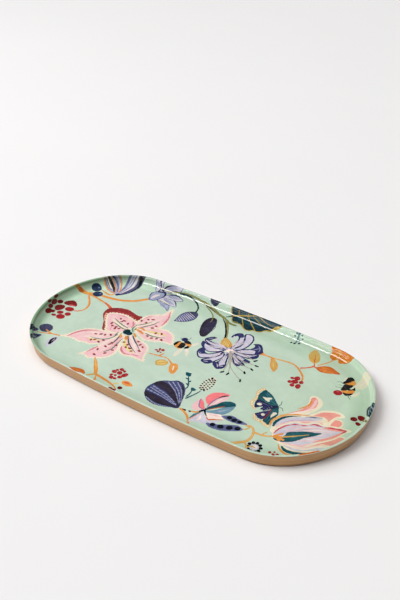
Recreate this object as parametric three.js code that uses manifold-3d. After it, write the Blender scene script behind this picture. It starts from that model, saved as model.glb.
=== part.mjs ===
// A long oval serving tray with a low, slightly flared wall, in millimetres, +Z up.
// A bent wooden strip, glued end to end in a scarf, forms the wall. A plywood panel fits inside it as the
// base, a fillet of filler rounds the corner between them, and a hard enamel lining covers the floor, the
// fillet and the wall and wraps over the top of the strip. Six felt pads under the panel carry the tray.
// The origin is on the table under the tray's middle, and +X runs along the tray.

import * as THREE from "three";
import { LoftGeometry } from "three/addons/geometries/LoftGeometry.js";
import { mergeVertices } from "three/addons/utils/BufferGeometryUtils.js";
import Module from "manifold-3d";

// Driving dimensions
const LENGTH = 450; // over the rim
const WIDTH = 222; // over the rim, at mid length
const HEIGHT = 17.5; // from the table to the top of the rim
const SIDE_BOW = 10; // how far each long side bulges out over the tray's length
const END_DEPTH = 88; // length along X of each half-elliptical end
const FLARE = 3; // how much wider, on each side, the rim is than the foot of the wall
const STRIP = 2.4; // thickness of the bent strip
const PANEL = 3; // thickness of the base panel
const COAT = 0.4; // thickness of the enamel
const COVE_RADIUS = 9; // of the enamelled corner between floor and wall
const GLUE = 0.3; // glue line or primer between neighbouring pieces
const PAD_HEIGHT = 0.9; // felt pad
const PAD_RADIUS = 7;
const SCARF_LENGTH = 28; // of the strip's slanted end joint, at the middle of one long side

// Edges
const FOOT_ROUND = 2.2; // radius of the strip's lower outside edge
const STRIP_TOP_ROUND = 0.5;
const RIM_ROUND = 0.35; // radius of the enamel's outside edge on the rim
const RIM_INNER_ROUND = 0.9;
const FILLET_EDGE = 0.3; // the filler's thickness at both of its feathered edges

// Fineness: outline points in all, the share of them on the two ends, and steps in each rounded profile
const OUTLINE_STEPS = 80;
const END_SHARE = 0.7;
const COVE_STEPS = 6;
const ROUND_STEPS = 3;

// Levels and lengths that follow
const HALF_LENGTH = LENGTH / 2;
const END_HALF_WIDTH = WIDTH / 2 - SIDE_BOW;
const STRAIGHT = HALF_LENGTH - END_DEPTH; // half the distance between the two ends' centres
const FOOT_Z = PAD_HEIGHT + GLUE; // underside of strip and panel
const STRIP_TOP = HEIGHT - COAT - GLUE;
const PANEL_TOP = FOOT_Z + PANEL;
const FLOOR_Z = PANEL_TOP + GLUE + COAT; // top of the enamelled floor
const TILT = Math.atan2(FLARE, HEIGHT - FOOT_Z); // of the wall from upright

// The rim's outline in plan, anticlockwise: an end and the long side after it, twice.
class RimOutline extends THREE.Curve {
  getPoint(t, target = new THREE.Vector2()) {
    const wrapped = ((t % 1) + 1) % 1;
    const side = wrapped < 0.5 ? 1 : -1;
    const along = (wrapped % 0.5) / 0.5;
    if (along < END_SHARE) {
      const angle = Math.PI * (along / END_SHARE - 0.5);
      target.set(STRAIGHT + END_DEPTH * Math.cos(angle), END_HALF_WIDTH * Math.sin(angle));
    } else {
      const share = (along - END_SHARE) / (1 - END_SHARE);
      target.set(STRAIGHT * (1 - 2 * share), END_HALF_WIDTH);
    }
    const bow = SIDE_BOW * (1 - (target.x / HALF_LENGTH) ** 2);
    target.y += Math.sign(target.y) * bow;
    return target.multiplyScalar(side);
  }
}

const outline = new RimOutline();
const stations = Array.from({ length: OUTLINE_STEPS }, (_, i) => {
  const point = outline.getPoint(i / OUTLINE_STEPS);
  const before = outline.getPoint((i - 0.01) / OUTLINE_STEPS);
  const after = outline.getPoint((i + 0.01) / OUTLINE_STEPS);
  const along = after.sub(before).normalize();
  return { point, inward: new THREE.Vector2(-along.y, along.x) };
});

// The outline moved inwards by inset, at height z.
function ring([inset, z]) {
  return stations.map(
    ({ point, inward }) =>
      new THREE.Vector3(point.x + inward.x * inset, point.y + inward.y * inset, z),
  );
}

// A solid filled to its middle, through [inset, z] points from its lowest face to its highest.
function filled(profile) {
  return new LoftGeometry(profile.map(ring), { capStart: true, capEnd: true });
}

// A closed hoop, whose section goes up the outside and down the inside through [inset, z] points.
function hoop(profile) {
  return new LoftGeometry([...profile, profile[0]].map(ring));
}

// Inset of the wall's sloping face at height z, at a distance behind the strip's outside face.
function wallInset(z, behind) {
  return (FLARE * (HEIGHT - z)) / (HEIGHT - FOOT_Z) + behind / Math.cos(TILT);
}

// A rounded corner, from one angle to another about a centre: angle 0 points outwards and 90 degrees up.
function arc([centreInset, centreZ], radius, from, to, steps) {
  return Array.from({ length: steps + 1 }, (_, i) => {
    const angle = from + ((to - from) * i) / steps;
    return [centreInset - radius * Math.cos(angle), centreZ + radius * Math.sin(angle)];
  });
}

const DOWN = -Math.PI / 2;
const UP = Math.PI / 2;
const LINING = STRIP + GLUE + COAT; // from the strip's outside face to the enamelled wall
const coveCentreZ = FLOOR_Z + COVE_RADIUS;
const coveCentre = [wallInset(coveCentreZ, LINING + COVE_RADIUS), coveCentreZ];

// The cove from floor to wall, for a layer that lies deeper than the enamel's surface. A trim angle leaves
// that much of the curve out at either end.
function cove(deeper, trim = 0) {
  return arc(coveCentre, COVE_RADIUS + deeper, DOWN + trim, -TILT - trim, COVE_STEPS);
}

const wasm = await Module();
wasm.setup();

function solid(geometry) {
  const bare = new THREE.BufferGeometry();
  bare.setAttribute("position", geometry.getAttribute("position"));
  bare.setIndex(geometry.index);
  const merged = mergeVertices(bare, 1e-4);
  return new wasm.Manifold(
    new wasm.Mesh({
      numProp: 3,
      vertProperties: merged.getAttribute("position").array,
      triVerts: new Uint32Array(merged.index.array),
    }),
  );
}

function geometryOf(manifold) {
  const { vertProperties, triVerts } = manifold.getMesh();
  const geometry = new THREE.BufferGeometry();
  geometry.setAttribute("position", new THREE.BufferAttribute(vertProperties, 3));
  geometry.setIndex(new THREE.BufferAttribute(triVerts, 1));
  return geometry;
}

// The bent strip that forms the wall. Its two ends lap in a long slanted scarf at the back.
function rimHoop() {
  const footCentre = [wallInset(FOOT_Z + FOOT_ROUND, FOOT_ROUND), FOOT_Z + FOOT_ROUND];
  const topCentre = [wallInset(STRIP_TOP - STRIP_TOP_ROUND, STRIP_TOP_ROUND), STRIP_TOP - STRIP_TOP_ROUND];
  const strip = hoop([
    ...arc(footCentre, FOOT_ROUND, DOWN, -TILT, ROUND_STEPS),
    ...arc(topCentre, STRIP_TOP_ROUND, -TILT, UP, ROUND_STEPS - 1),
    [wallInset(STRIP_TOP, STRIP), STRIP_TOP],
    [wallInset(FOOT_Z, STRIP), FOOT_Z],
  ]);
  const slit = new THREE.BoxGeometry(2 * SCARF_LENGTH, GLUE, 2 * HEIGHT);
  slit.rotateZ(Math.atan2(STRIP, SCARF_LENGTH));
  slit.translate(0, WIDTH / 2 - wallInset(HEIGHT / 2, STRIP / 2), HEIGHT / 2);
  return geometryOf(solid(strip).subtract(solid(slit)));
}

// The plywood base, flush with the foot of the strip.
function basePanel() {
  return filled([
    [wallInset(FOOT_Z, STRIP + GLUE), FOOT_Z],
    [wallInset(PANEL_TOP, STRIP + GLUE), PANEL_TOP],
  ]);
}

// The filler in the corner between panel and strip, feathered off along the panel and up the strip.
function coveFillet() {
  const radius = COVE_RADIUS + COAT + GLUE;
  const trim = Math.acos(1 - (GLUE + FILLET_EDGE) / radius);
  const face = cove(COAT + GLUE, trim);
  const [floorEdge] = face;
  const wallEdge = face.at(-1);
  const bottom = PANEL_TOP + GLUE;
  return hoop([
    [wallInset(bottom, STRIP + GLUE), bottom],
    [wallInset(wallEdge[1], STRIP + GLUE), wallEdge[1]],
    ...face.reverse(),
    [floorEdge[0], bottom],
  ]);
}

// The enamel skin: its outer body follows the pieces under it, and the serving space is cut from it.
function enamelLining() {
  const stripTopInner = [wallInset(STRIP_TOP + GLUE, STRIP + GLUE), STRIP_TOP + GLUE];
  const lipCentre = [RIM_ROUND, HEIGHT - RIM_ROUND];
  const innerEdge = wallInset(HEIGHT, LINING);
  const body = filled([
    ...cove(COAT),
    stripTopInner,
    [0, STRIP_TOP + GLUE],
    ...arc(lipCentre, RIM_ROUND, 0, UP, 2),
  ]);
  const space = filled([
    ...cove(0),
    [wallInset(HEIGHT - RIM_INNER_ROUND, LINING), HEIGHT - RIM_INNER_ROUND],
    [innerEdge - RIM_INNER_ROUND * (1 - Math.SQRT1_2), HEIGHT - RIM_INNER_ROUND * (1 - Math.SQRT1_2)],
    [innerEdge - RIM_INNER_ROUND, HEIGHT],
    [innerEdge - RIM_INNER_ROUND, HEIGHT + RIM_INNER_ROUND],
  ]);
  return geometryOf(solid(body).subtract(solid(space)));
}

function feltPad() {
  const pad = new THREE.CylinderGeometry(PAD_RADIUS, PAD_RADIUS, PAD_HEIGHT, 24);
  return pad.rotateX(Math.PI / 2);
}

const finishes = {
  wood: new THREE.MeshStandardMaterial({ color: "#c79a66", roughness: 0.5, metalness: 0 }),
  plywood: new THREE.MeshStandardMaterial({ color: "#cfa878", roughness: 0.65, metalness: 0 }),
  filler: new THREE.MeshStandardMaterial({ color: "#d9cfb8", roughness: 0.9, metalness: 0 }),
  enamel: new THREE.MeshStandardMaterial({ color: "#bcd8c0", roughness: 0.15, metalness: 0 }),
  felt: new THREE.MeshStandardMaterial({ color: "#3b3a3c", roughness: 1, metalness: 0 }),
};

const tray = new THREE.Group();

function addPiece(name, geometry, finish) {
  const mesh = new THREE.Mesh(geometry, finishes[finish]);
  mesh.name = name;
  tray.add(mesh);
  return mesh;
}

addPiece("rim_hoop", rimHoop(), "wood");
addPiece("base_panel", basePanel(), "plywood");
addPiece("cove_fillet", coveFillet(), "filler");
addPiece("enamel_lining", enamelLining(), "enamel");

// One pad near each end, and one near each end of both long sides.
const PAD_END_X = HALF_LENGTH - 42;
const PAD_SIDE_X = STRAIGHT - 32;
const PAD_SIDE_Y = WIDTH / 2 - 34;
const padPlaces = [
  [PAD_END_X, 0],
  [PAD_SIDE_X, PAD_SIDE_Y],
  [-PAD_SIDE_X, PAD_SIDE_Y],
  [-PAD_END_X, 0],
  [-PAD_SIDE_X, -PAD_SIDE_Y],
  [PAD_SIDE_X, -PAD_SIDE_Y],
];
padPlaces.forEach(([x, y], i) => {
  addPiece(`felt_pad_${i + 1}`, feltPad(), "felt").position.set(x, y, PAD_HEIGHT / 2);
});

export default tray;
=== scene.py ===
"""A long oval serving tray of light bent wood, lined with mint enamel that is painted with flowers."""

import cmath
import math
import random

import bpy
import numpy as np
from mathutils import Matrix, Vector, geometry, kdtree


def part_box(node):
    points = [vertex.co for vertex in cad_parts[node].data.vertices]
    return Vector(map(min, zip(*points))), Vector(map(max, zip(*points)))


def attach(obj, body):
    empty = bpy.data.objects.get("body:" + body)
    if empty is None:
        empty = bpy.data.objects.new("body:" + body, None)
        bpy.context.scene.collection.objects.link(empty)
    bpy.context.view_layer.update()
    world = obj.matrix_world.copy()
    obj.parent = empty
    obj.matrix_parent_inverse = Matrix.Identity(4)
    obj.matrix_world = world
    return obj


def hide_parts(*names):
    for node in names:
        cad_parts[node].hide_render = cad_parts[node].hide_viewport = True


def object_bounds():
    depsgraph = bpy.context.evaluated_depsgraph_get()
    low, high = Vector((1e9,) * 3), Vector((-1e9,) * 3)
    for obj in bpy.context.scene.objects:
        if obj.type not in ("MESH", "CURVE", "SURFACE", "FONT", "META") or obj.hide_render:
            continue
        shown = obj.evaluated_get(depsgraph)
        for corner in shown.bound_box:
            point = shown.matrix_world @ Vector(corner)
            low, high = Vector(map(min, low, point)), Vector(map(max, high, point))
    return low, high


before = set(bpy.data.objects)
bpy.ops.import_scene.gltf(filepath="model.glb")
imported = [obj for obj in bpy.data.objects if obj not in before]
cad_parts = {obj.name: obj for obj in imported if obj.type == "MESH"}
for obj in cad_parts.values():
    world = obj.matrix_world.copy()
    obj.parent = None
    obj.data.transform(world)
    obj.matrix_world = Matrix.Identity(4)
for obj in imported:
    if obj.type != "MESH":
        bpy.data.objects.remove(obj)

CAD_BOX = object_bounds()
MM = 0.001  # shapes are worked out in millimetres and stored in metres

# ---------------------------------------------------------------- sizes, in millimetres
HALF_LENGTH = CAD_BOX[1].x / MM
HALF_WIDTH = CAD_BOX[1].y / MM
HEIGHT = CAD_BOX[1].z / MM
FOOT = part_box("base_panel")[0].z / MM  # underside of the strip and the base panel
PANEL_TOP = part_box("base_panel")[1].z / MM
STRIP_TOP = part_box("rim_hoop")[1].z / MM
SIDE_BOW = 10.0  # how far each long side bulges out
END_DEPTH = 88.0  # length of each half-elliptical end
FLARE = 3.0  # how far the rim stands outside the foot of the wall
STRIP = 2.4  # thickness of the bent strip
COAT = 0.4  # thickness of the enamel
GLUE = 0.3
COVE_RADIUS = 9.0
FOOT_ROUND = 2.2
LIP_ROUND = 0.35  # the enamel's outside edge on the rim
RIM_ROUND = 1.3  # the enamel's inside edge on the rim
SCARF = 28.0  # length of the strip's slanted end joint

FLOOR = PANEL_TOP + GLUE + COAT
TILT = math.atan2(FLARE, HEIGHT - FOOT)
LINING = STRIP + GLUE + COAT
END_HALF_WIDTH = HALF_WIDTH - SIDE_BOW
STRAIGHT = HALF_LENGTH - END_DEPTH
END_SHARE = 0.7  # of the outline's stations, those on the two ends


def wall_inset(z, behind):
    """How far in from the rim the sloping wall is at height z, `behind` its outside face."""
    return FLARE * (HEIGHT - z) / (HEIGHT - FOOT) + behind / math.cos(TILT)


def outline(t):
    """Points of the rim's outline and their inward normals, anticlockwise from the +X end's -Y corner."""

    def place(t):
        t = np.mod(t, 1.0)
        side = np.where(t < 0.5, 1.0, -1.0)
        along = np.mod(t, 0.5) / 0.5
        angle = np.pi * (along / END_SHARE - 0.5)
        on_end = along < END_SHARE
        x = np.where(
            on_end,
            STRAIGHT + END_DEPTH * np.cos(angle),
            STRAIGHT * (1 - 2 * (along - END_SHARE) / (1 - END_SHARE)),
        )
        y = np.where(on_end, END_HALF_WIDTH * np.sin(angle), END_HALF_WIDTH)
        y = y + np.sign(y) * SIDE_BOW * (1 - (x / HALF_LENGTH) ** 2)
        return np.stack([x * side, y * side], 1)

    ahead = place(t + 1e-5) - place(t - 1e-5)
    ahead /= np.linalg.norm(ahead, axis=1, keepdims=True)
    return place(t), np.stack([-ahead[:, 1], ahead[:, 0]], 1)


def arc(centre, radius, start, end, steps):
    """[inset, z] points of a rounded corner: angle 0 points outwards and 90 degrees up."""
    angles = np.linspace(start, end, steps + 1)
    return np.stack([centre[0] - radius * np.cos(angles), centre[1] + radius * np.sin(angles)], 1)


DOWN, UP = -math.pi / 2, math.pi / 2
COVE_CENTRE = (wall_inset(FLOOR + COVE_RADIUS, LINING + COVE_RADIUS), FLOOR + COVE_RADIUS)
FLOOR_EDGE = COVE_CENTRE[0]  # inset of the flat floor's edge


# ---------------------------------------------------------------- meshes
def new_piece(name, points, faces, material, slot, node):
    """A mesh object from points in millimetres, that stands for a CAD node."""
    mesh = bpy.data.meshes.new(name)
    mesh.from_pydata([tuple(p) for p in np.asarray(points, float) * MM], [], faces)
    mesh.materials.append(material)
    mesh.shade_smooth()
    piece = bpy.data.objects.new(name, mesh)
    bpy.context.scene.collection.objects.link(piece)
    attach(piece, "root")
    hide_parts(node)
    return piece


def sweep(profile, stations, capped=False):
    """Rings of the [inset, z] profile round the outline: capped into a solid, or closed on itself."""
    t = np.arange(stations) / stations
    rim, inward = outline(t)
    rings = [np.c_[rim + inward * inset, np.full(stations, z)] for inset, z in profile]
    points = np.concatenate(rings)
    rows = len(profile)
    faces = []
    for j in range(rows - 1 if capped else rows):
        low, high = j * stations, (j + 1) % rows * stations
        for i in range(stations):
            k = (i + 1) % stations
            faces.append((low + i, low + k, high + k, high + i))
    if capped:
        faces.append(tuple(reversed(range(stations))))
        faces.append(tuple(range((rows - 1) * stations, rows * stations)))
    return points, faces


# ---------------------------------------------------------------- painting tools
# The decoration is painted in flat shapes, the lowest first. A point is a complex number, x + y*1j, in
# millimetres on the floor, and past the floor's edge in millimetres up the cove and wall.
shapes = []
STEP = 0.9  # spacing of the points on a painted outline
SHAKE = 0.16  # how far a hand-painted edge strays
STREAK = 0.35  # how strongly a shape's brush marks usually show, from 0 to 1


def paint(edge, ink, along=1, streak=STREAK):
    """Lays one closed shape over those before it. Brush marks run in the direction `along`."""
    shaky = [
        p + SHAKE * complex(math.sin(1.3 * p.imag + 0.7 * p.real), math.sin(1.1 * p.real - 0.9 * p.imag))
        for p in edge
    ]
    shapes.append((shaky, ink, along / abs(along), streak))


def curve(points, closed=False, step=STEP):
    """A smooth curve through the points."""
    count = len(points)
    out = []
    for i in range(count if closed else count - 1):
        p1, p2 = points[i], points[(i + 1) % count]
        p0 = points[i - 1] if closed or i else 2 * p1 - p2
        p3 = points[(i + 2) % count] if closed or i + 2 < count else 2 * p2 - p1
        steps = max(2, math.ceil(abs(p2 - p1) / step))
        for k in range(steps):
            t = k / steps
            bend = 2 * p0 - 5 * p1 + 4 * p2 - p3
            rest = 3 * p1 - p0 - 3 * p2 + p3
            out.append(p1 + 0.5 * ((p2 - p0) * t + bend * t * t + rest * t**3))
    return out if closed else out + [points[-1]]


def sample(values, t):
    """The value at t, from 0 to 1, along a list of evenly spaced values."""
    place = min(max(t, 0), 1) * (len(values) - 1)
    i = min(int(place), len(values) - 2)
    return values[i] + (values[i + 1] - values[i]) * (place - i)


def limb(points, widths, ink, streak=STREAK):
    """A round-ended brush stroke along a smooth curve, of one width or of widths spaced evenly along it."""
    widths = widths if isinstance(widths, (list, tuple)) else [widths, widths]
    spine = curve(points)
    last = len(spine) - 1
    left, right = [], []
    for i, p in enumerate(spine):
        ahead = spine[min(i + 1, last)] - spine[max(i - 1, 0)]
        half = sample(widths, i / last) / 2
        to_end = min(abs(p - spine[0]), abs(p - spine[-1]))
        half *= math.sqrt(min(1, (to_end + 0.12 * half) / half))
        side = 1j * ahead / abs(ahead) * half
        left.append(p + side)
        right.append(p - side)
    paint(left + right[::-1], ink, spine[-1] - spine[0], streak)


def form(points, ink, along=1, streak=STREAK):
    """A freehand shape whose edge is a smooth curve through the points. Gives the edge back."""
    edge = curve(points, closed=True)
    paint(edge, ink, along, streak)
    return edge


def within(edge, margin):
    """The same closed edge, drawn again a margin further in."""
    area = sum((edge[i - 1].conjugate() * p).imag for i, p in enumerate(edge))
    inward = 1j if area > 0 else -1j
    moved = []
    for i, p in enumerate(edge):
        ahead = edge[(i + 2) % len(edge)] - edge[i - 2]
        moved.append(p + inward * ahead / abs(ahead) * margin)
    return [q for q in moved if min(abs(q - p) for p in edge) > 0.92 * margin]


def rimmed(points, rim, ink, margin=1.6, along=1, streak=STREAK):
    """A freehand shape with an even rim of another colour."""
    edge = form(points, rim, along)
    paint(within(edge, margin), ink, along, streak)


def oval(centre, rx, ry, ink, turn=0.0, streak=STREAK):
    """An oval, turned by an angle in degrees."""
    spin = cmath.rect(1, math.radians(turn))
    steps = max(10, round(5.5 * math.sqrt(rx + ry)))
    ring = [k * math.tau / steps for k in range(steps)]
    paint([centre + spin * complex(rx * math.cos(a), ry * math.sin(a)) for a in ring], ink, spin, streak)


def rows_of(points):
    """Complex points as rows of x and y."""
    return np.array([(p.real, p.imag) for p in points])


def contains(ring, points):
    """Which points lie inside a closed outline, self-crossing or not."""
    x, y = points[:, 0:1], points[:, 1:2]
    x1, y1 = ring[:, 0], ring[:, 1]
    x2, y2 = np.roll(x1, -1), np.roll(y1, -1)
    spans = (y1 > y) != (y2 > y)
    with np.errstate(divide="ignore", invalid="ignore"):
        crossing = x1 + (y - y1) * (x2 - x1) / (y2 - y1)
    return (spans & (x < crossing)).sum(axis=1) % 2 == 1


class Blade:
    """A leaf's or petal's own grid: t runs along its bent spine from base to tip, u across from -1 to 1."""

    def __init__(self, base, tip, width, bend=0.0, peak=0.5, base_end=0.7, tip_end=0.9):
        axis = tip - base
        self.base, self.tip, self.width = base, tip, width
        self.mid = (base + tip) / 2 + 2j * bend * axis
        self.length = abs(axis)
        self.stretch = math.log(0.5) / math.log(peak)
        self.base_end, self.tip_end = base_end, tip_end

    def spine(self, t):
        return (1 - t) ** 2 * self.base + 2 * t * (1 - t) * self.mid + t * t * self.tip

    def half(self, t):
        s = min(max(t, 1e-9), 1) ** self.stretch
        blunt = self.base_end + (self.tip_end - self.base_end) * s
        return self.width / 2 * max(math.sin(math.pi * s), 0) ** blunt

    def at(self, t, u, margin=0.0):
        ahead = (1 - t) * (self.mid - self.base) + t * (self.tip - self.mid)
        return self.spine(t) + 1j * ahead / abs(ahead) * u * max(self.half(t) - margin, 0.02)

    def fill(self, ink, margin=0.0, t0=0.0, streak=STREAK):
        """Paints the part of the blade beyond t0, inside a margin."""
        inset = margin / self.length
        a, b = max(t0, inset), 1 - 1.6 * inset
        steps = max(8, math.ceil(self.length * (b - a) / STEP))
        ts = [a + (b - a) * k / steps for k in range(steps + 1)]
        one = [self.at(t, 1, margin) for t in ts]
        other = [self.at(t, -1, margin) for t in reversed(ts)]
        meet = abs(one[-1] - other[0]) < 0.05
        paint(one + other[1:] if meet else one + other, ink, self.tip - self.base, streak)

    def ray(self, ink, width, t0, t1, u0, u1, bow=0.0):
        """A stroke from (t0, u0) to (t1, u1)."""
        middle = self.at((t0 + t1) / 2, (u0 + u1) / 2 + bow)
        limb([self.at(t0, u0), middle, self.at(t1, u1)], width, ink)

    def streaks(self, ink, count, width=0.7, t0=0.1, t1=0.85, spread=0.8, seed=0):
        """Fine strokes that fan out from the base."""
        dice = random.Random(seed)
        for k in range(count):
            u = spread * (2 * (k + 0.5) / count - 1)
            a = t0 + 0.12 * dice.random()
            b = t1 - 0.25 * dice.random() - 0.15 * abs(u)
            self.ray(ink, [width * 0.5, width, width * 0.25], a, b, u * 0.85, u)


def leaf(base, tip, width, ink, bend=0.0, rib=None, rib_width=0.8, veins=4):
    """A simple leaf, which has a midrib and pairs of side veins if their ink is given."""
    blade = Blade(base, tip, width, bend, 0.45, 0.75, 0.95)
    blade.fill(ink)
    if rib:
        blade.ray(rib, [rib_width, rib_width * 0.9, 0.3], 0.0, 0.9, 0, 0)
        for k in range(veins):
            t = 0.12 + 0.68 * k / veins
            for side in (-1, 1):
                blade.ray(rib, [rib_width * 0.7, 0.25], t, t + 0.2, 0, 0.72 * side, 0.05 * side)


def berries(places, ink, shine):
    """Round berries, each (centre, radius), with a small light mark if its ink is given."""
    for centre, radius in places:
        oval(centre, radius, radius * 0.9, ink, 20, 0.5)
        if shine:
            oval(centre + radius * (0.3 + 0.35j), radius * 0.2, radius * 0.14, shine, 35)


def bunch(centre, radius, count, size, ink, shine, seed):
    """A bunch of berries in rings about a middle one."""
    dice = random.Random(seed)
    places = [(centre, size)]
    for k in range(count - 1):
        ring = 0.56 if k % 3 == 0 else 1.0
        angle = math.tau * k / (count - 1) + 0.3 * dice.random()
        places.append((centre + radius * ring * cmath.rect(1, angle), size * (0.8 + 0.35 * dice.random())))
    berries(places, ink, shine)


# ---------------------------------------------------------------- the decoration
def lily():
    """A speckled lily with ruffled petals, a sepal behind it and a dark heart."""
    form([-158+28j, -150+36j, -142+39.5j, -133+41j, -124+39j, -116+37.5j, -109+38j, -109+25j, -124+22j,
          -140+16j, -144+6j, -132-5j, -122-12j, -133-13j, -139-6j, -146+4j, -154+12j, -158+20j], "maroon",
         3+1j, 0.6)
    sepal = Blade(-155+29j, -109+34j, 11, -0.06, 0.45, 0.5, 0.3)
    sepal.streaks("crimson", 4, 0.9, 0.15, 1, 0.8, seed=1)
    sepal.streaks("darkred", 3, 1.1, 0.4, 1.1, 0.7, seed=2)
    limb([-154+19j, -149+10j, -143+3j], [1.4, 2, 0.8], "coral")
    top = [
        -105+17j, -108+26j, -108+34j, -107+42j, -103+49j, -97+54j, -92+57j, -90+64j, -89+72j, -86+75j,
        -83+67j, -79.5+58j, -76.5+50j, -74.5+43j, -74.5+36j, -76+29j, -80+22j, -89+15j, -98+13j,
    ]
    right = [
        -100+11j, -92+18j, -85+25j, -78+30j, -71+31.5j, -65+33j, -58+31.5j, -51+28j, -46+21j, -42+13j,
        -44+10j, -51+10j, -57+8j, -63+4j, -70+1j, -77-0.5j, -85+2j, -94+6j,
    ]
    low_left = [
        -110-5j, -119-10j, -130-13j, -139-16j, -149-21j, -156-29j, -160-38j, -163-46j, -168-54j, -159-51j,
        -150-49j, -142-50j, -133-47j, -126-46.5j, -119-41j, -113-33j, -109-20j,
    ]
    curled = [
        -106+5j, -105+13j, -103+20j, -106+25j, -113+27j, -121+29j, -131+29.5j, -140+27.5j, -147+24j,
        -151+19j, -148+12j, -144+6j, -139+0j, -134-6j, -131-11j, -122-12j, -112-8j,
    ]
    bottom = [
        -106-7j, -110-18j, -112-29j, -114-39j, -117-49j, -119-58j, -124-69j, -117-67j, -109-69j, -102-64j,
        -94-59j, -89-51j, -87.5-42j, -90-33j, -94-25j, -98-16j, -100-8j,
    ]
    low_right = [
        -99-3j, -90-1j, -82-3j, -72-4.5j, -64-8j, -59-14j, -56-22j, -53.5-29j, -49-36j, -58-36.5j, -66-37j,
        -74-39.5j, -82-39.5j, -88-35j, -92-27j, -96-18j, -100-10j,
    ]
    for number, (edge, inner_base, inner_tip) in enumerate((
        (top, -98+20j, -86+68j), (right, -94+13j, -48+14j), (low_left, -113-10j, -160-46j),
        (curled, -107+4j, -146+19j), (bottom, -103-12j, -114-62j), (low_right, -96-7j, -57-30j),
    )):
        way = inner_tip - inner_base
        ring = form(edge, "cream", way)
        for k in range(0, len(ring), max(1, len(ring) // 30)):
            oval(ring[k], 1.3 + 0.3 * (k % 4), 0.9, "cream", 53 * k % 180)
        paint(within(ring, 2.2), "blush", way)
        inside = Blade(inner_base, inner_tip, 20, 0, 0.55, 0.5, 0.8)
        inside.streaks("shell", 8, 1.3, 0.1, 1, 0.85, 10 + number)
        inside.streaks("petal", 6, 0.8, 0.15, 1, 0.9, 20 + number)
    # the deep pink folds
    for fold, width in (
        ([-87+69j, -81+58j, -78+47j, -77+36j], [0.8, 2.4, 3, 1.2]),
        ([-106+10j, -107+17j, -114+24.5j], [1, 3, 0.8]),
        ([-160-49j, -157-38j, -151-28j, -142-21j, -132-17j], [1.6, 3, 3, 2, 0.6]),
        ([-118-61j, -116-51j, -114-43j], [0.8, 3, 0.8]),
        ([-91-26j, -86-33j, -78-36.5j, -71-34j], [0.6, 3, 3, 0.8]),
        ([-71-33j, -65-31.5j, -60-31j], [0.6, 2.4, 0.8]),
        ([-138+24j, -131+26j, -122+24.5j], [0.5, 1.2, 0.4]),
        ([-101+49j, -104+42j, -105+34j], [0.5, 1.4, 0.4]), ([-134+6j, -128-2j, -124-9j], [0.4, 1.2, 0.4]),
    ):
        limb(fold, width, "rose")
    # the pale middle of each petal between its two dark veins
    for middle, ink in (
        ([-138+13j, -127+9j, -117+7j, -107+5j], "cream"), ([-89+41j, -93+31j, -99+22j, -103+15j], "cream"),
        ([-60+17j, -68+15.5j, -78+14j, -90+13j], "cream"),
        ([-142-37j, -128-32j, -117-26j, -111-14j], "shell"),
        ([-101-50j, -100-38j, -102-24j, -104-10j], "petal"), ([-70-24j, -80-16j, -88-9j, -97-3j], "shell"),
        ([-84-27j, -91-20j, -97-10j], "lemon"), ([-70-29.5j, -80-27j, -87-21j], "lemon"),
        ([-58+22j, -66+22j, -76+19.5j, -87+16j], "lemon"), ([-136-37j, -128-36j, -121-33j], "lemon"),
    ):
        limb(middle, [1, 3.4, 3.4, 1.6] if ink != "lemon" else [1.2, 3.8, 3.6, 1.2], ink)
    for vein in (
        [-137+16j, -129+12.5j, -119+9.5j, -109+8j], [-134+8j, -126+6.5j, -117+4j, -109+3.5j],
        [-85+43j, -87+34j, -91+27j, -96+18j], [-92+37j, -96+29j, -101+22j, -105+19j],
        [-57+18j, -65+14j, -74+11.5j, -84+12j], [-136-34j, -126-31.5j, -117-27j, -112-19j, -110.5-10j],
        [-107-9j, -104.5-20j, -103.5-31j], [-100-12j, -98.5-26j, -97-38j, -101-49j], [-113-5j, -112-14j],
    ):
        limb(vein, [0.5, 1.7, 1.9, 1.5], "sage")
    for vein in (
        [-94-1j, -85-8j, -76-14j, -67-21j], [-98-5j, -89-15j, -79-22j, -68-27.5j],
        [-108-6j, -105-17j, -104-26j],
    ):
        limb(vein, [1.4, 1.7, 1.5, 0.6], "teal")
    for number, spot in enumerate((
        -129.5+19j, -123+18j, -124.5+15j, -115+15.5j, -128.5+1j, -123+1.5j, -117.5+0.5j, -122-2j, -99.5+38j,
        -94.5+41.5j, -97.5+31j, -105+31j, -82+32j, -83.5+26j, -73+19.5j, -66+22.5j, -78+8.5j, -71+8j,
        -65+10.5j, -58.5+12j, -134-25j, -128-21.5j, -123-20j, -117-16j, -117-30j, -127-35j, -130.5-38j,
        -120-36j, -105-28j, -105.5-32j, -97-29j, -106.5-38.5j, -94.5-39.5j, -98-49.5j, -110.5-48.5j,
        -107-59j, -79.5-7.5j, -73.5-11.5j, -68-13.5j, -66.5-22j, -93.5-18.5j, -86.5-20j, -85-25.5j,
        -79.5-24.5j, -74.5-28j, -133+5j,
    )):
        oval(spot, 2.1 + 0.35 * (number % 2), 1.5, "maroon", 47 * number % 180 - 40)
    for stamen, width in (
        ([-99+15.5j, -93+17.5j, -87+16j], 2.8), ([-98+12.5j, -91+11j, -85+9j], 3.6), ([-96+4j, -88-2j], 3),
        ([-108-7j, -103-14j], 3.2), ([-100-6j, -94.5-13j], 4.4),
    ):
        limb(stamen, [width * 0.55, width, width * 0.8], "orange")
    limb([-104+19j, -103+10j, -98+5j], [1, 2, 1.4], "sage")
    limb([-101+15j, -99+11j, -101+8j], [1.2, 2.2, 1.2], "olive")
    oval(-105+1j, 4.8, 5.6, "pine", 15)
    oval(-99.5-0.5j, 3.6, 4.2, "pine", -20)
    for mark in ([-107+4j, -104-3j], [-103+4j, -101-4j], [-99+3j, -98-2j]):
        limb(mark, [0.5, 1.2, 0.5], "ink")


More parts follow.
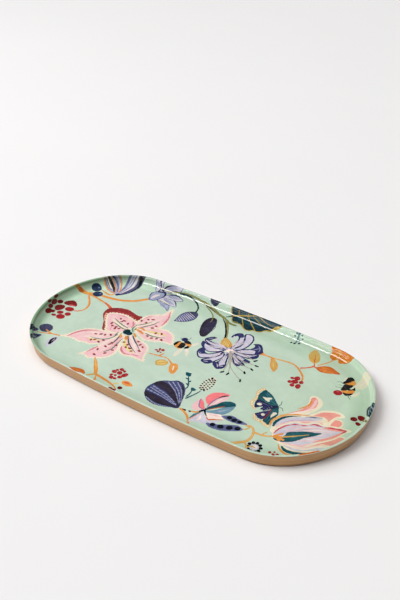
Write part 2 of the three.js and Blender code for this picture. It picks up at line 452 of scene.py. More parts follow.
def lilac_flower():
    """A nodding flower whose narrow petals curl back at the tips."""
    limb([-62+109j, -47+106j, -33+101j, -20+97j, -10+87j, -2+75j, 5+61j], [3, 3, 3.4, 3.6], "olive")
    limb([-24+97j, -14+88j, -6+78j, 0+69j, 4.5+59j], [0.8, 2, 2.2, 2.2], "ink")
    petals = (  # the edges, each from the heart round to the heart
        [19+46j, 9+48.5j, 0+46j, -8+46j, -15+47j, -13.5+42j, -4+38.5j, 8+39j, 19+42j],
        [18+42j, 6+38j, -6+39j, -15+40.5j, -13+34j, -7+29j, 1+25.5j, 9+28j, 17+36j],
        [18+39j, 12+30j, 5+22.5j, -1+24j, -8+28j, -9.5+21j, -6+14j, 0+9.5j, 7+12j, 14+19j, 19+28j],
        [20+36j, 17+26j, 11+16j, 5+9j, 7+5j, 13+4.5j, 18.5+8j, 22+16j, 25+27j],
        [23+38j, 25+26j, 23+15j, 20+10.5j, 24+6j, 31+3.5j, 36+8j, 36.5+14j, 33+22j, 28+34j],
        [29+38j, 36+29j, 41+24j, 46+20.5j, 50+23j, 50+25.5j, 54+28j, 51+31j, 42+34j, 33+40j],
        [32+41j, 42+40j, 50+39.5j, 56+38j, 56+34j, 50+32.5j, 40+34j, 32+38j],
        [31+45j, 40+47j, 49+51j, 56+56j, 59+50j, 56.5+44.5j, 49+41j, 38+39.5j, 30+41j],
        [29+48j, 36+55j, 43+60j, 51+62j, 57+60j, 54+53j, 45+47.5j, 34+44j],
        [21+47j, 20.5+58j, 19+68j, 17+75j, 21+80j, 25+77j, 28+67j, 27.5+57j, 26+47j],
        [24+47j, 28+57j, 27+68j, 23+76j, 20.5+82.5j, 25+86j, 31+85j, 36+79j, 38+70j, 37.5+60j, 34.5+51j,
         29+46j],
    )
    for number, edge in enumerate(petals):
        tip = edge[len(edge) // 2]
        way = tip - edge[0]
        ring = form(edge, "navy", way, 0.2)
        paint(within(ring, 1.9), "lilac", way)
        inner = Blade(edge[0] + way * 0.12, edge[0] + way * 0.86, 6.5, 0, 0.55)
        inner.streaks("shell", 3, 0.9, 0, 0.9, 0.6, 30 + number)
        inner.streaks("haze", 3, 0.6, 0.1, 1, 0.8, 50 + number)
    # the dark backs of the curled tips
    for cap in (
        [-15.5+47j, -12.5+52j, -8.5+56j, -4+55.5j, -6.5+51j, -8.5+47j, -13+44.5j],
        [-8+27j, -7.5+20j, -3+16.5j, 3+21j, -0.5+24j, -3.5+29j, -8+31j],
        [-15+41j, -13.5+34j, -8+29j, -5+30j, -8.5+34j, -11+40j],
        [5.5+8.5j, 10+4j, 16.5+5j, 19+11j, 15+14j, 9.5+9.5j],
        [20+11j, 25+5.5j, 31+3j, 36.5+8j, 36.5+14j, 33+15j, 29.5+9.5j, 26.5+15j, 22+14j],
        [41+25j, 45+21j, 50+23j, 47+25.5j], [44+29j, 50+25j, 55+28j, 50+29.5j],
        [48.5+38j, 54+39j, 57+35.5j, 53+32.5j, 48+35j],
        [57+56j, 59.5+50j, 56+44.5j, 48+41j, 51+46j, 54.5+51j],
        [40+70j, 43+73.5j, 48+75j, 53+71.5j, 56+67j, 59+62j, 57+56j, 52+54j, 50+59j, 45+60j, 40+55j, 44+64j,
         43.5+69j],
        [8.5+70j, 10+77j, 14+81.5j, 19+81j, 22+75j, 17.5+72.5j, 14+74j, 12+69j, 9.5+67j],
    ):
        form(cap, "navy", cap[3] - cap[0], 0.9)
    for light, width in (
        ([-5+54j, -1+52.5j, 2+50j], [2.2, 3, 0.8]), ([11.5+72j, 13+67.5j, 15+64j], [1.8, 2.4, 0.6]),
        ([47+71j, 52+67j, 54+60j], [0.4, 1, 0.5]), ([44+61j, 49+64j, 51+69j], [0.4, 1, 0.4]),
        ([-6+19j, -2+19j], [0.8, 0.4]), ([25+12j, 30+7j], [0.5, 1.2]), ([9+7j, 14+9j], [0.6, 1.2]),
        ([-12+48j, -8+53j], [0.4, 1]), ([34+12j, 31+8.5j], [1.6, 0.6]),
        ([52+51j, 50+47j, 45+45j], [0.8, 1.4, 0.5]),
    ):
        limb(light, width, "haze" if width[-1] < 0.6 else "lilac")
    heart = 24+42j
    for k in range(15):
        way = cmath.rect(1, math.radians(24 * k + 7))
        reach = 10 + 5 * (k % 3)
        limb([heart + 2.5 * way, heart + reach * way], [1.6, 0.9, 0.3], ("shell", "mauve", "haze")[k % 3])
    for k in range(10):
        oval(heart + cmath.rect(9 + 4 * (k % 3), math.radians(-78 + 15 * k)), 1.1, 0.6, "violet",
             15 * k - 78)
    oval(heart, 4.6, 3.8, "shell", 20)
    for tip, bow in (
        (60+42j, 0.1), (66+35j, -0.1), (65+26j, -0.12), (61+16j, -0.12), (65+1j, -0.1), (47+4j, 0.04),
        (40+3j, 0.06),
    ):
        way = tip - heart
        limb([heart, heart + way * 0.5 + 1j * bow * way, tip], [1.2, 1.2, 1], "stone")
    for tip, turn in (
        (60.5+43j, 62), (67+35j, 0), (66+26j, -28), (62+16j, -48), (66+0.5j, -62), (47+2.5j, 86),
        (39.5+2j, 52),
    ):
        oval(tip, 3.1, 1.35, "ink", turn)
    # the yellow cup that it hangs from
    cup = [4+62.5j, 10+61j, 16+57.5j, 20.5+52.5j, 19+47j, 11+47j, 5.5+49j, 3.2+56j]
    form(cup, "ochre", 2-1j)
    for k in range(4):
        limb([5.5 + 2.6 * k + (61 - 1.0 * k) * 1j, 8 + 3.1 * k + (54 - 1.9 * k) * 1j,
              9 + 3.1 * k + (48.5 - 0.3 * k) * 1j], [0.8, 1.8, 0.8], "gold")
        limb([7.6 + 2.6 * k + (59 - 1.0 * k) * 1j, 11 + 2.8 * k + (51 - 1.0 * k) * 1j], [0.3, 0.9, 0.4],
             "rust")


def moth():
    """A moth seen from above, its head to the upper right."""
    for start, middle, stop, count in (
        (97+3.5j, 94.5-4j, 99-15.5j, 8), (99-17j, 98-25j, 106-31.5j, 7),
        (111.5-40.5j, 116-46j, 124-46.5j, 6), (125-46j, 129-48.5j, 134-49j, 5),
    ):
        spine = curve([start, middle, stop], step=0.4)
        for k in range(count):
            place = spine[round((len(spine) - 1) * k / (count - 1))]
            oval(place, 2.1, 1.9, "gold")
            oval(place, 1.1, 1, "shell")
    upper = [
        127-14j, 122-9.5j, 116-4.5j, 110-0.5j, 104+2j, 99.5+3j, 98-1j, 97.5-7j, 99-13j, 101.5-16.5j,
        110-17j, 118-17j, 125-19j,
    ]
    lower = [
        127-14.5j, 130.5-20j, 133.5-26j, 133.5-33j, 132.5-40j, 133.5-47j, 128-45.5j, 124.5-44j, 124-34j,
        123-22j,
    ]
    form(upper, "teal", -2+1j, 0.6)
    form(lower, "teal", 1-4j, 0.6)
    form([101-16.5j, 101-21j, 102.5-26j, 106-30.5j, 109.5-27j, 112.5-24j, 112-29.5j, 116-28.5j, 119-24j,
          123-21j, 121-17j, 110-16.5j], "navy", -2+1j)
    form([121-26j, 117-30.5j, 114-35j, 111-39.5j, 114.5-41.5j, 118-43.5j, 123-43j, 124-34j, 123-25j],
         "navy", 1-4j)
    for streak, ink in (
        ([123-13j, 113-9j, 104-3j], "lagoon"), ([120-10j, 111-4j, 102+0j], "lagoon"),
        ([121-15.5j, 110-15j, 101-12j], "lagoon"), ([128-19j, 130-30j, 130-43j], "lagoon"),
        ([126-20j, 126.5-32j, 127-43j], "lagoon"), ([119-18j, 111-19j, 104-19j], "violet"),
        ([120-20j, 116-24j, 114-28j], "violet"), ([121-26j, 118-33j, 115-39j], "slate"),
        ([122-24j, 121.5-33j, 121-41j], "slate"),
    ):
        limb(streak, [0.4, 0.9, 0.5], ink)
    limb([124-19j, 112-16.8j, 101-16.5j], [1, 1.5, 0.8], "plum")
    limb([122.5-21j, 124-32j, 124.2-43j], [1, 1.6, 1], "maroon")
    limb([126.5-14j, 121-20j, 117-26j, 116-30j], [3.2, 5.6, 5, 1.6], "indigo")
    for k in range(4):
        limb([119 - k - (17.5 + 3 * k) * 1j, 122.5 - k - (20 + 3 * k) * 1j], 0.8, "violet")
    form([103.5-9.5j, 108-8j, 112-5.5j, 114-7j, 112.5-9.5j, 114-12.5j, 111.5-13.5j, 107.5-12j], "wing")
    form([127.5-25.5j, 131.5-25j, 131-30j, 129-35j, 127.5-31j], "wing")
    oval(107-22.5j, 2.9, 2.3, "wing", 20)
    oval(119.6-35.6j, 2.1, 2.3, "wing", 20)
    limb([127-13j, 127-8j, 125-3j], [0.9, 0.8, 0.5], "pine")
    limb([128-14.5j, 132-14.5j, 135-18j], [0.9, 0.8, 0.6], "pine")


def tulip():
    """A wide tulip in profile, its petals ruffled, with a dark leaf at its heart."""
    base = 147-60j
    for twig, width in (
        ([base, 138-65j, 127-66j], [2.4, 2.6, 2.8]),
        ([113-62j, 120-60j, 126-65j, 129-74j, 127-84j, 114-97j], [1.6, 2.2, 2.8, 3.2, 3.8, 3.6]),
        ([136-64.5j, 139-57j], [1.8, 1.2]), ([127-85j, 132-89j, 136-97j], [2.2, 2, 1.6]),
    ):
        limb(twig, width, "orange")
        limb(twig, [w * 0.4 for w in width], "gold")
    # the two petals that lean back, then the two that show beside the front one
    rimmed([152-16j, 161-8j, 166+2j, 171+9j, 179+14j, 187+16.5j, 195+14.5j, 196+11j, 191+6j, 189-1j,
            187-10j, 180-16j, 166-22j], "cream", "coral", 3.4, 2+1j, 0.7)
    rimmed([188+2j, 192+5j, 197+5j, 200.5+1j, 200-6j, 195-11j, 188-10j], "cream", "coral", 1.6, 1j)
    form([135-36j, 141-20j, 148-8j, 151+2j, 151+12j, 148+20j, 149+25j, 154+26.5j, 161+24j, 166+17j, 166+8j,
          163-1j, 158-9j, 148-18j, 139-34j], "cream", 1+2j)
    form([135-32j, 142-17j, 149-6j, 152+4j, 152+13j, 150+21j, 154+23.5j, 159+19j, 161.5+12j, 161+4j, 157-4j,
          148-13j, 139-28j], "coral", 1+2j)
    form([155+22j, 159+17j, 160+10j, 158+2j, 153-5j, 157+5j, 156+14j], "blush", 1+3j)
    limb([152+17j, 153.5+10j, 151+2j, 146-6j], [1.6, 2.4, 1.8, 0.6], "orange")
    limb([140-22j, 148-12j, 156-3j, 162+7j], [0.6, 2.4, 2.4, 0.8], "shell")
    rimmed([198-30j, 204-20j, 210-17j, 215-19j, 215-26j, 211-33j, 205-40j, 198-47j, 190-52j, 186-44j],
           "cream", "coral", 2, 1+2j)
    # the lowest petals and the side petal, lilac inside
    form([150-63j, 159-66j, 170-69j, 180-68j, 190-61j, 199-52j, 207-44j, 206-38j, 198-40j, 188-45j,
          170-55j], "cream", 2+1j)
    for stripe, width, ink in (
        ([152-63j, 168-63j, 182-56j, 192-46j, 203-39j], [2, 5, 4, 3, 1], "blush"),
        ([164-65.5j, 178-64j, 189-56j, 199-47j, 204-43j], [1.5, 3.5, 4, 4, 1.5], "lilac"),
        ([160-60j, 174-58j, 184-52j, 192-43j, 199-33j], [1, 3.6, 3.6, 4.2, 2], "coral"),
        ([172-64j, 184-59j, 194-49j], [0.6, 2.4, 0.8], "shell"),
    ):
        limb(stripe, width, ink, streak=0.7)
    form([138-48j, 135.5-38j, 139-28j, 146-19j, 156-12j, 167-6j, 177-1j, 184-4j, 186-12j, 170-18j, 155-26j,
          147-38j, 144-54j, 140-54j], "cream", 1+1j)
    for stripe, width, ink in (
        ([140-44j, 143-32j, 152-22j, 165-13j, 178-5j], [2.5, 5, 6, 6, 2], "lilac"),
        ([143-50j, 145-39j, 153-28j, 165-19j, 182-12j], [1.5, 3.5, 4, 4, 3], "coral"),
        ([142-45j, 146-34j, 155-25j, 168-16j, 181-8j], [0.8, 2, 2.4, 2, 1], "blush"),
        ([143-38j, 150-27j, 160-19j, 172-11j], [0.6, 1.8, 1.8, 0.6], "mauve"),
        ([160-12j, 169-7j, 177-3j], [0.6, 2, 0.6], "slate"),
    ):
        limb(stripe, width, ink, streak=0.8)
    limb([135.5-47j, 133.5-38j, 138-25j, 147-16.5j, 157-10.5j, 167-6j], [1.6, 3.2, 3, 2.2, 1.6, 0.5],
         "orange")
    limb([133.5-42j, 134.5-33j, 140-23j, 148-16j], [0.6, 1.2, 1.2, 0.5], "gold")
    limb([139-46j, 137.5-38j, 140.5-28j, 147-20j, 156-13.5j], [2.6, 3.8, 3, 1.8, 0.4], "teal")
    # the front petal
    front = [
        144.5-57j, 142.5-49j, 144.5-40j, 149-32j, 154-26j, 160-23j, 166-21j, 170-16j, 176-12.5j, 182-12.5j,
        187-11j, 193-8j, 199-6j, 206-4j, 213-4j, 209-11j, 206.5-19j, 203.5-27j, 198-35j, 192-43j, 187-51j,
        179-59j, 169-64j, 156-65j, 148-61j,
    ]
    ring = form(front, "cream", 2+1j)
    paint(within(ring, 2.2), "lilac", 2+1j, 0.8)
    inside = Blade(base, 205-14j, 36, 0.04, 0.52, 0.6, 0.85)
    inside.streaks("mauve", 8, 1.4, 0.1, 1, 0.85, seed=70)
    inside.streaks("blush", 6, 1.6, 0.2, 1, 0.9, seed=71)
    inside.streaks("shell", 5, 1.2, 0.3, 0.95, 0.7, seed=73)
    limb([184-17j, 193-14j, 203-9.5j, 207-9j], [1, 3.4, 5, 2], "coral")
    limb([207-8j, 203.5-18j, 199-27j, 192-37j, 187-44j], [1.2, 3, 3.6, 3.4, 1], "coral")
    limb([186-46j, 180-55j, 170-60j, 160-62.5j], [1, 3.4, 3, 1], "blush")
    for lip, width in (
        ([145.5-56j, 146-48j, 149.5-38j, 154-32.5j], [1, 2, 2.4, 0.8]),
        ([154-33j, 157-29.5j, 162-27.5j], [0.6, 2.4, 0.6]),
        ([162-27j, 166-25.5j, 169.5-23j], [0.6, 2.2, 0.6]),
        ([171-22j, 174.5-17.5j, 179-16.5j, 183.5-16j], [0.6, 2.2, 2.6, 0.8]),
        ([186-15.5j, 191-12.5j, 197-10.5j, 204-8j, 208.5-6.5j], [0.8, 2.4, 2.6, 3, 0.8]),
        ([208-7j, 205-15j], [2.4, 0.8]),
    ):
        limb(lip, width, "crimson")
    form([149-62j, 154-57j, 157-51j, 157-45j, 163-40j, 169-35j, 176-31j, 181-29j, 188-25.5j, 185-32j,
          181-37j, 176-43j, 173-49j, 168-56j, 160-61.5j, 153-63.5j], "teal", 3+2j, 0.6)
    heart = Blade(150-61j, 186-27j, 12, 0.02, 0.5, 0.6, 0.9)
    heart.streaks("lagoon", 4, 0.7, 0.2, 0.95, 0.8, seed=72)
    limb([150-60j, 163-49j, 178-35.5j], [2, 1.8, 0.8], "ochre")
    for tip in (154.5-49.5j, 157-55j, 160.5-58.5j, 157.5-62j):
        limb([base, (base + tip) / 2 + 0.8j, tip], [2.4, 2.6, 3.4], "orange")
    limb([158-67j, 164-73j, 173-75.5j, 183-71j, 192-63.5j, 201-54j], [1.2, 3, 2.4, 1.6, 1.2, 0.5], "orange")
    limb([162.5-67.5j, 168-71j, 176-70.5j, 185-66.5j, 194-59j, 201-50.5j], [1.6, 4.4, 4.6, 3.4, 2, 1],
         "teal")


def balloon_pod():
    """A swollen seed pod with plain and dotted bands that meet at its stalk."""
    foot = 36.5-80.5j
    form([foot, 32-67j, 27.5-56j, 22-48j, 15-42j, 7-41.5j, 1-46j, -5-49.5j, -10-54j, -13.5-61j, -15.5-69j,
          -14-77j, -9.5-84j, -2-89.5j, 9-91.5j, 20-89j, 29-85j], "pod", 3-1j, 0.5)
    form([foot, 30-64j, 22-50j, 12-42.5j, 7-42.5j, 14-45j, 21-52j, 27-62j], "plum", 1-1j)
    form([foot, 27-69j, 15-59j, 4-54j, -4-52.5j, -10-54j, -13-61j, -6-64j, 4-65j, 18-70.5j], "plum", 3-1j)
    form([foot, 22-78.5j, 8-77j, -6-77.5j, -13-78j, -9-84j, 2-87j, 14-87.5j, 27-84j], "plum", 1)
    for edge in (
        [foot, 25-66j, 10-52j, -3-49j], [foot, 18-70j, 3-65j, -13-63j], [foot, 16-78j, -2-77j, -13-77.5j],
    ):
        limb(edge, [0.5, 0.9, 0.6], "navy")
    for row, (start, middle, stop) in enumerate((
        (33-71j, 22-55j, 9-44.5j), (33-73j, 20-58j, 4-47j), (32-74j, 17-60j, -1-49.5j),
        (32-78j, 14-70.5j, -11-65.5j), (31-78.5j, 12-73j, -13-69j), (30-79j, 10-75.5j, -12.5-74j),
        (28-85.5j, 10-89.5j, -6-86j),
    )):
        spine = curve([start, middle, stop], step=0.5)
        count = round(len(spine) / 5)
        for k in range(count):
            i = min(len(spine) - 2, round(5 * k + 2 + 1.5 * (row % 2)))
            way = spine[i + 1] - spine[i]
            oval(spine[i], 0.95 + 0.35 * k / count, 0.55 + 0.25 * k / count, "haze",
                 math.degrees(cmath.phase(way)) + 25)
    for dash, width in (([40-80.5j, 46-79j], 3.2), ([48.5-78.3j, 52-77.3j], 2.8)):
        limb(dash, width, "ink")
    limb([37-80j, 45-82j, 52-86j, 57-91j, 60-95j, 66-104j], [2.2, 2.8, 2.8, 2.6, 2.4], "orange")


def open_bloom():
    """A bloom in profile, its petals in many colours."""
    hub = 62.5-67j
    limb([51-77j, 56-75.5j, 60-71j], [2, 2.4, 2], "orange")
    form([hub, 61-58j, 56-54.5j, 51.5-49j, 51-42j, 54-35.5j, 60-31j, 67-28.5j, 72-29.5j, 67-37j, 65-47j],
         "flame", 1+3j)
    form([hub, 61.5-52j, 63.5-42j, 67-34.5j, 71.5-30j, 73-37j, 70.5-44j, 66-54j], "blush", 1+3j)
    limb([62-62j, 61.5-50j, 64-40j, 71-30.5j], [1, 1.2, 1.4, 1.2], "violet")
    limb([63-41j, 66-35.5j, 70.5-30.5j], [0.5, 2, 1.4], "plum")
    limb([68-36j, 66.5-45j, 64.5-55j], [0.5, 2, 0.6], "shell")
    form([62-66j, 56-66.5j, 52-61j, 47.5-52.5j, 53-55j, 57.5-60j], "flame", -1+1j)
    form([60-67j, 55-67j, 51-61j, 48-54j, 46-60j, 46-67j, 50-73j, 56-71j], "blush", -1+1j)
    limb([47.5-53j, 51-60.5j, 55-66j, 61-66j], [0.8, 1.2, 1.2, 0.8], "violet")
    form([hub, 63.5-58j, 68-51j, 71-43.5j, 77-38.5j, 84-37.5j, 87.5-42j, 83-46j, 76-52j, 69-60j], "teal",
         2+3j)
    form([hub + 1, 71-61j, 77.5-51j, 84-45j, 87.5-42.5j, 88-50j, 86-58j, 81-64.5j, 74-69.5j, 68-68.5j],
         "blue", 2+3j, 0.7)
    for stroke in ([75-62j, 81-54j, 85-47j], [71-65j, 77-60j, 82-54j]):
        limb(stroke, [0.5, 1.6, 0.5], "haze")
    limb([65-64j, 71-56.5j, 77.5-48j], [0.6, 1.2, 0.6], "rust")
    form([66-70j, 73-66.5j, 82-63j, 88.5-67j, 87-70.5j, 80-75j, 75-78.5j, 69-75.5j], "shell", 2+1j)
    limb([70-70j, 78-67.5j, 85-66j], [0.6, 2.6, 1], "blush")
    form([70-75j, 75-78.5j, 82-75j, 87.5-71j, 84-78j, 77-82.5j, 71-80j], "lilac", 2+1j)
    limb([70-74.5j, 75-77.5j, 80-74j, 88.5-69j], [0.8, 2, 1.8, 1], "rust")
    form([62-70j, 66-73.5j, 70-77j, 76-82.5j, 73-87j, 65-89j, 57.5-93j, 59-82j], "lilac", 1-2j, 0.8)
    limb([64-76j, 66-81j, 65-86j], [0.8, 3, 1], "shell")
    limb([61-72j, 58-79j, 56.5-88j], [1.6, 3.4, 1.4], "lagoon")
    limb([62-73.5j, 59.5-82j, 57.5-93j], [0.8, 1.2, 0.8], "coral")
    limb([59-72.5j, 60.5-69.5j, 62.5-66.5j], [2.2, 3.4, 2], "ink")
    limb([62-63j, 63-67j, 66-70.5j, 70-74j], [1, 2.4, 1.8, 1.4], "ink")


def pea_pods():
    """Two open pods in a row of dark peas each."""
    limb([111-61j, 117-62j, 121-60j], [1.2, 1.8, 1.8], "ochre")
    limb([112-70j, 117-67.5j, 120-62j], [1.2, 1.8, 1.6], "ochre")
    rimmed([83.5-64.5j, 88-60j, 94-57j, 103-58j, 114.5-59.5j, 110-63.5j, 101-66j, 91-66.5j], "violet",
           "slate", 1.3, 3+1j)
    rimmed([76-83j, 84-80j, 93-75j, 101-70j, 108-67j, 115-69.5j, 113-74j, 106-79j, 97-84.5j, 87-87j,
            80-86.5j], "violet", "slate", 1.5, 2+1j)
    for centre, radius in (
        (92.5-61.5j, 3.1), (99-62j, 3.4), (105.5-61j, 2.9), (83.5-81.5j, 3.2), (92.5-79.5j, 3.8),
        (101.5-75.5j, 3.8), (109.5-71.5j, 3.4),
    ):
        oval(centre, radius, radius * 0.92, "ink", 30)


def sprig(points, ink, width, buds, size):
    """A thin bent stem with small leaves to either side in turn."""
    limb(points, [width, width, width * 0.7], ink)
    spine = curve(points, step=0.5)
    for k in range(buds):
        i = round((len(spine) - 2) * (0.3 + 0.7 * k / max(buds - 1, 1)))
        ahead = (spine[i + 1] - spine[i]) / abs(spine[i + 1] - spine[i])
        tip = spine[i] + size * ahead * cmath.rect(1, 0.7 * (-1) ** k)
        leaf(spine[i], tip, size * 0.5, ink)


def star_flower():
    """A pale violet flower that runs from the floor up the back wall."""
    for edge, ink in (
        ([-118+83j, -108+80.5j, -98+80j, -94+75j, -92+68j, -99+72j, -108+76j, -117+79j], "haze"),
        ([-117+97j, -108+101j, -99+102.5j, -91+101j, -88+98.5j, -92+94.5j, -99+91.5j, -108+89j, -118+89j],
         "lilac"),
        ([-118+90j, -108+92j, -99+93.5j, -93+89j, -88+82.5j, -93+80j, -101+80.5j, -110+82j, -119+82j],
         "lilac"),
        ([-138+114j, -137+107j, -135+99j, -130+96j, -125+101j, -125+108j, -125+117j, -132+118j], "lilac"),
        ([-125+101j, -121+108j, -113+113j, -105+117j, -96+118j, -96+110j, -105+105.5j, -115+101j], "lilac"),
    ):
        way = edge[len(edge) // 2] - edge[0]
        rimmed(edge, "slate", ink, 0.9, way, 0.8)
        inner = Blade(edge[0] + way * 0.1, edge[0] + way * 0.9, 8, 0, 0.55)
        inner.streaks("haze", 4, 1.2, 0, 1, 0.9, 95)
        inner.streaks("violet", 2, 0.6, 0.1, 1, 0.6, 96)
    for line, width in (
        ([-116+98j, -107+101.5j, -98+102.5j, -89+99.5j], [0.8, 1.6, 1.4, 0.6]),
        ([-101+93.5j, -94+89.5j, -88.5+83j], [0.6, 1.6, 0.8]),
        ([-132+117j, -129+109j, -128+104j], [2, 2.6, 1]),
        ([-123+104j, -118+110j, -108+115j, -100+118j], [1.6, 2.4, 1.8, 1]),
        ([-116+103j, -107+107j, -97+109j], [0.4, 1, 0.4]),
    ):
        limb(line, width, "navy")
    limb([-117+84j, -107+83.5j, -99+81.5j], [0.8, 2.4, 0.8], "cream")
    bell = [
        -129+76j, -132+81j, -135+87j, -135.5+93j, -131+97.5j, -125+99.5j, -119.5+100j, -116+95j, -117+87j,
        -119.5+80j, -124+76j,
    ]
    rimmed(bell, "slate", "haze", 1.4, 1j)
    limb([-127+79j, -127+87j, -124+95j], [2, 6, 3], "lilac")
    limb([-129+81j, -127+87j, -123+93j], [1, 3, 1.4], "shell")
    for line, width in (
        ([-129+98j, -124+99j, -119.5+100.5j, -116.3+95j, -117.2+88j], [1.6, 2, 3, 2.4, 0.8]),
        ([-135+91j, -133.5+84j], [0.6, 1.6]), ([-129.5+97j, -128+103.5j], [2.4, 1.6]),
    ):
        limb(line, width, "navy")
    oval(-123.5+103j, 2.4, 1.8, "navy", 20)


def crown_leaf():
    """A broad dark leaf with a scalloped gold edge and gold veins, half of it up the back wall."""
    edge = [
        -17+124.5j, -17.5+112j, -14.5+104.5j, -11.5+98.5j, -6+95.5j, -1+96.5j, 4+96.5j, 8+93.5j, 14+90.5j,
        20+91j, 24+95j, 29+95j, 34+98j, 38+102j, 45+103.5j, 50+108j, 57+113j, 60+124j, 42+128j, 20+129j,
        0+129j,
    ]
    ring = form(edge, "mustard", 1)
    paint(within(ring, 1.5), "deep", 1, 0.9)
    leaf_grain = Blade(-14+106j, 54+113j, 17, 0, 0.5)
    leaf_grain.streaks("teal", 9, 0.9, 0.02, 1, 0.95, seed=110)
    limb([-9+97.5j, -4+98j, 1+97.5j], [1.4, 3.4, 1.2], "olive")
    limb([44+104j, 49+109j, 55+114j], [1.4, 4.2, 3], "mustard")
    for vein, width in (
        ([-13+105.5j, -2+109.5j, 9+113j, 24+119j], [2.4, 2.2, 1.8, 1]),
        ([-5+109j, -5.5+114j, -5+121j], [1.2, 1.2, 0.6]), ([-1+109.5j, 3+103j, 9+95j], [1.2, 1.7, 1]),
        ([7+112.5j, 14+105.5j, 26+96.5j], [1.2, 1.8, 1.2]), ([9+113j, 8+121j], [1, 0.6]),
        ([15+115j, 25+109.5j, 37+105.5j], [1, 1.5, 0.8]), ([22+118j, 34+113j, 46+110j], [0.8, 1.3, 0.6]),
    ):
        limb(vein, [0.75 * w for w in width], "mustard")
    limb([-21+100.5j, -17+103j, -13+105.5j], [1.4, 1.6, 1.6], "teal")


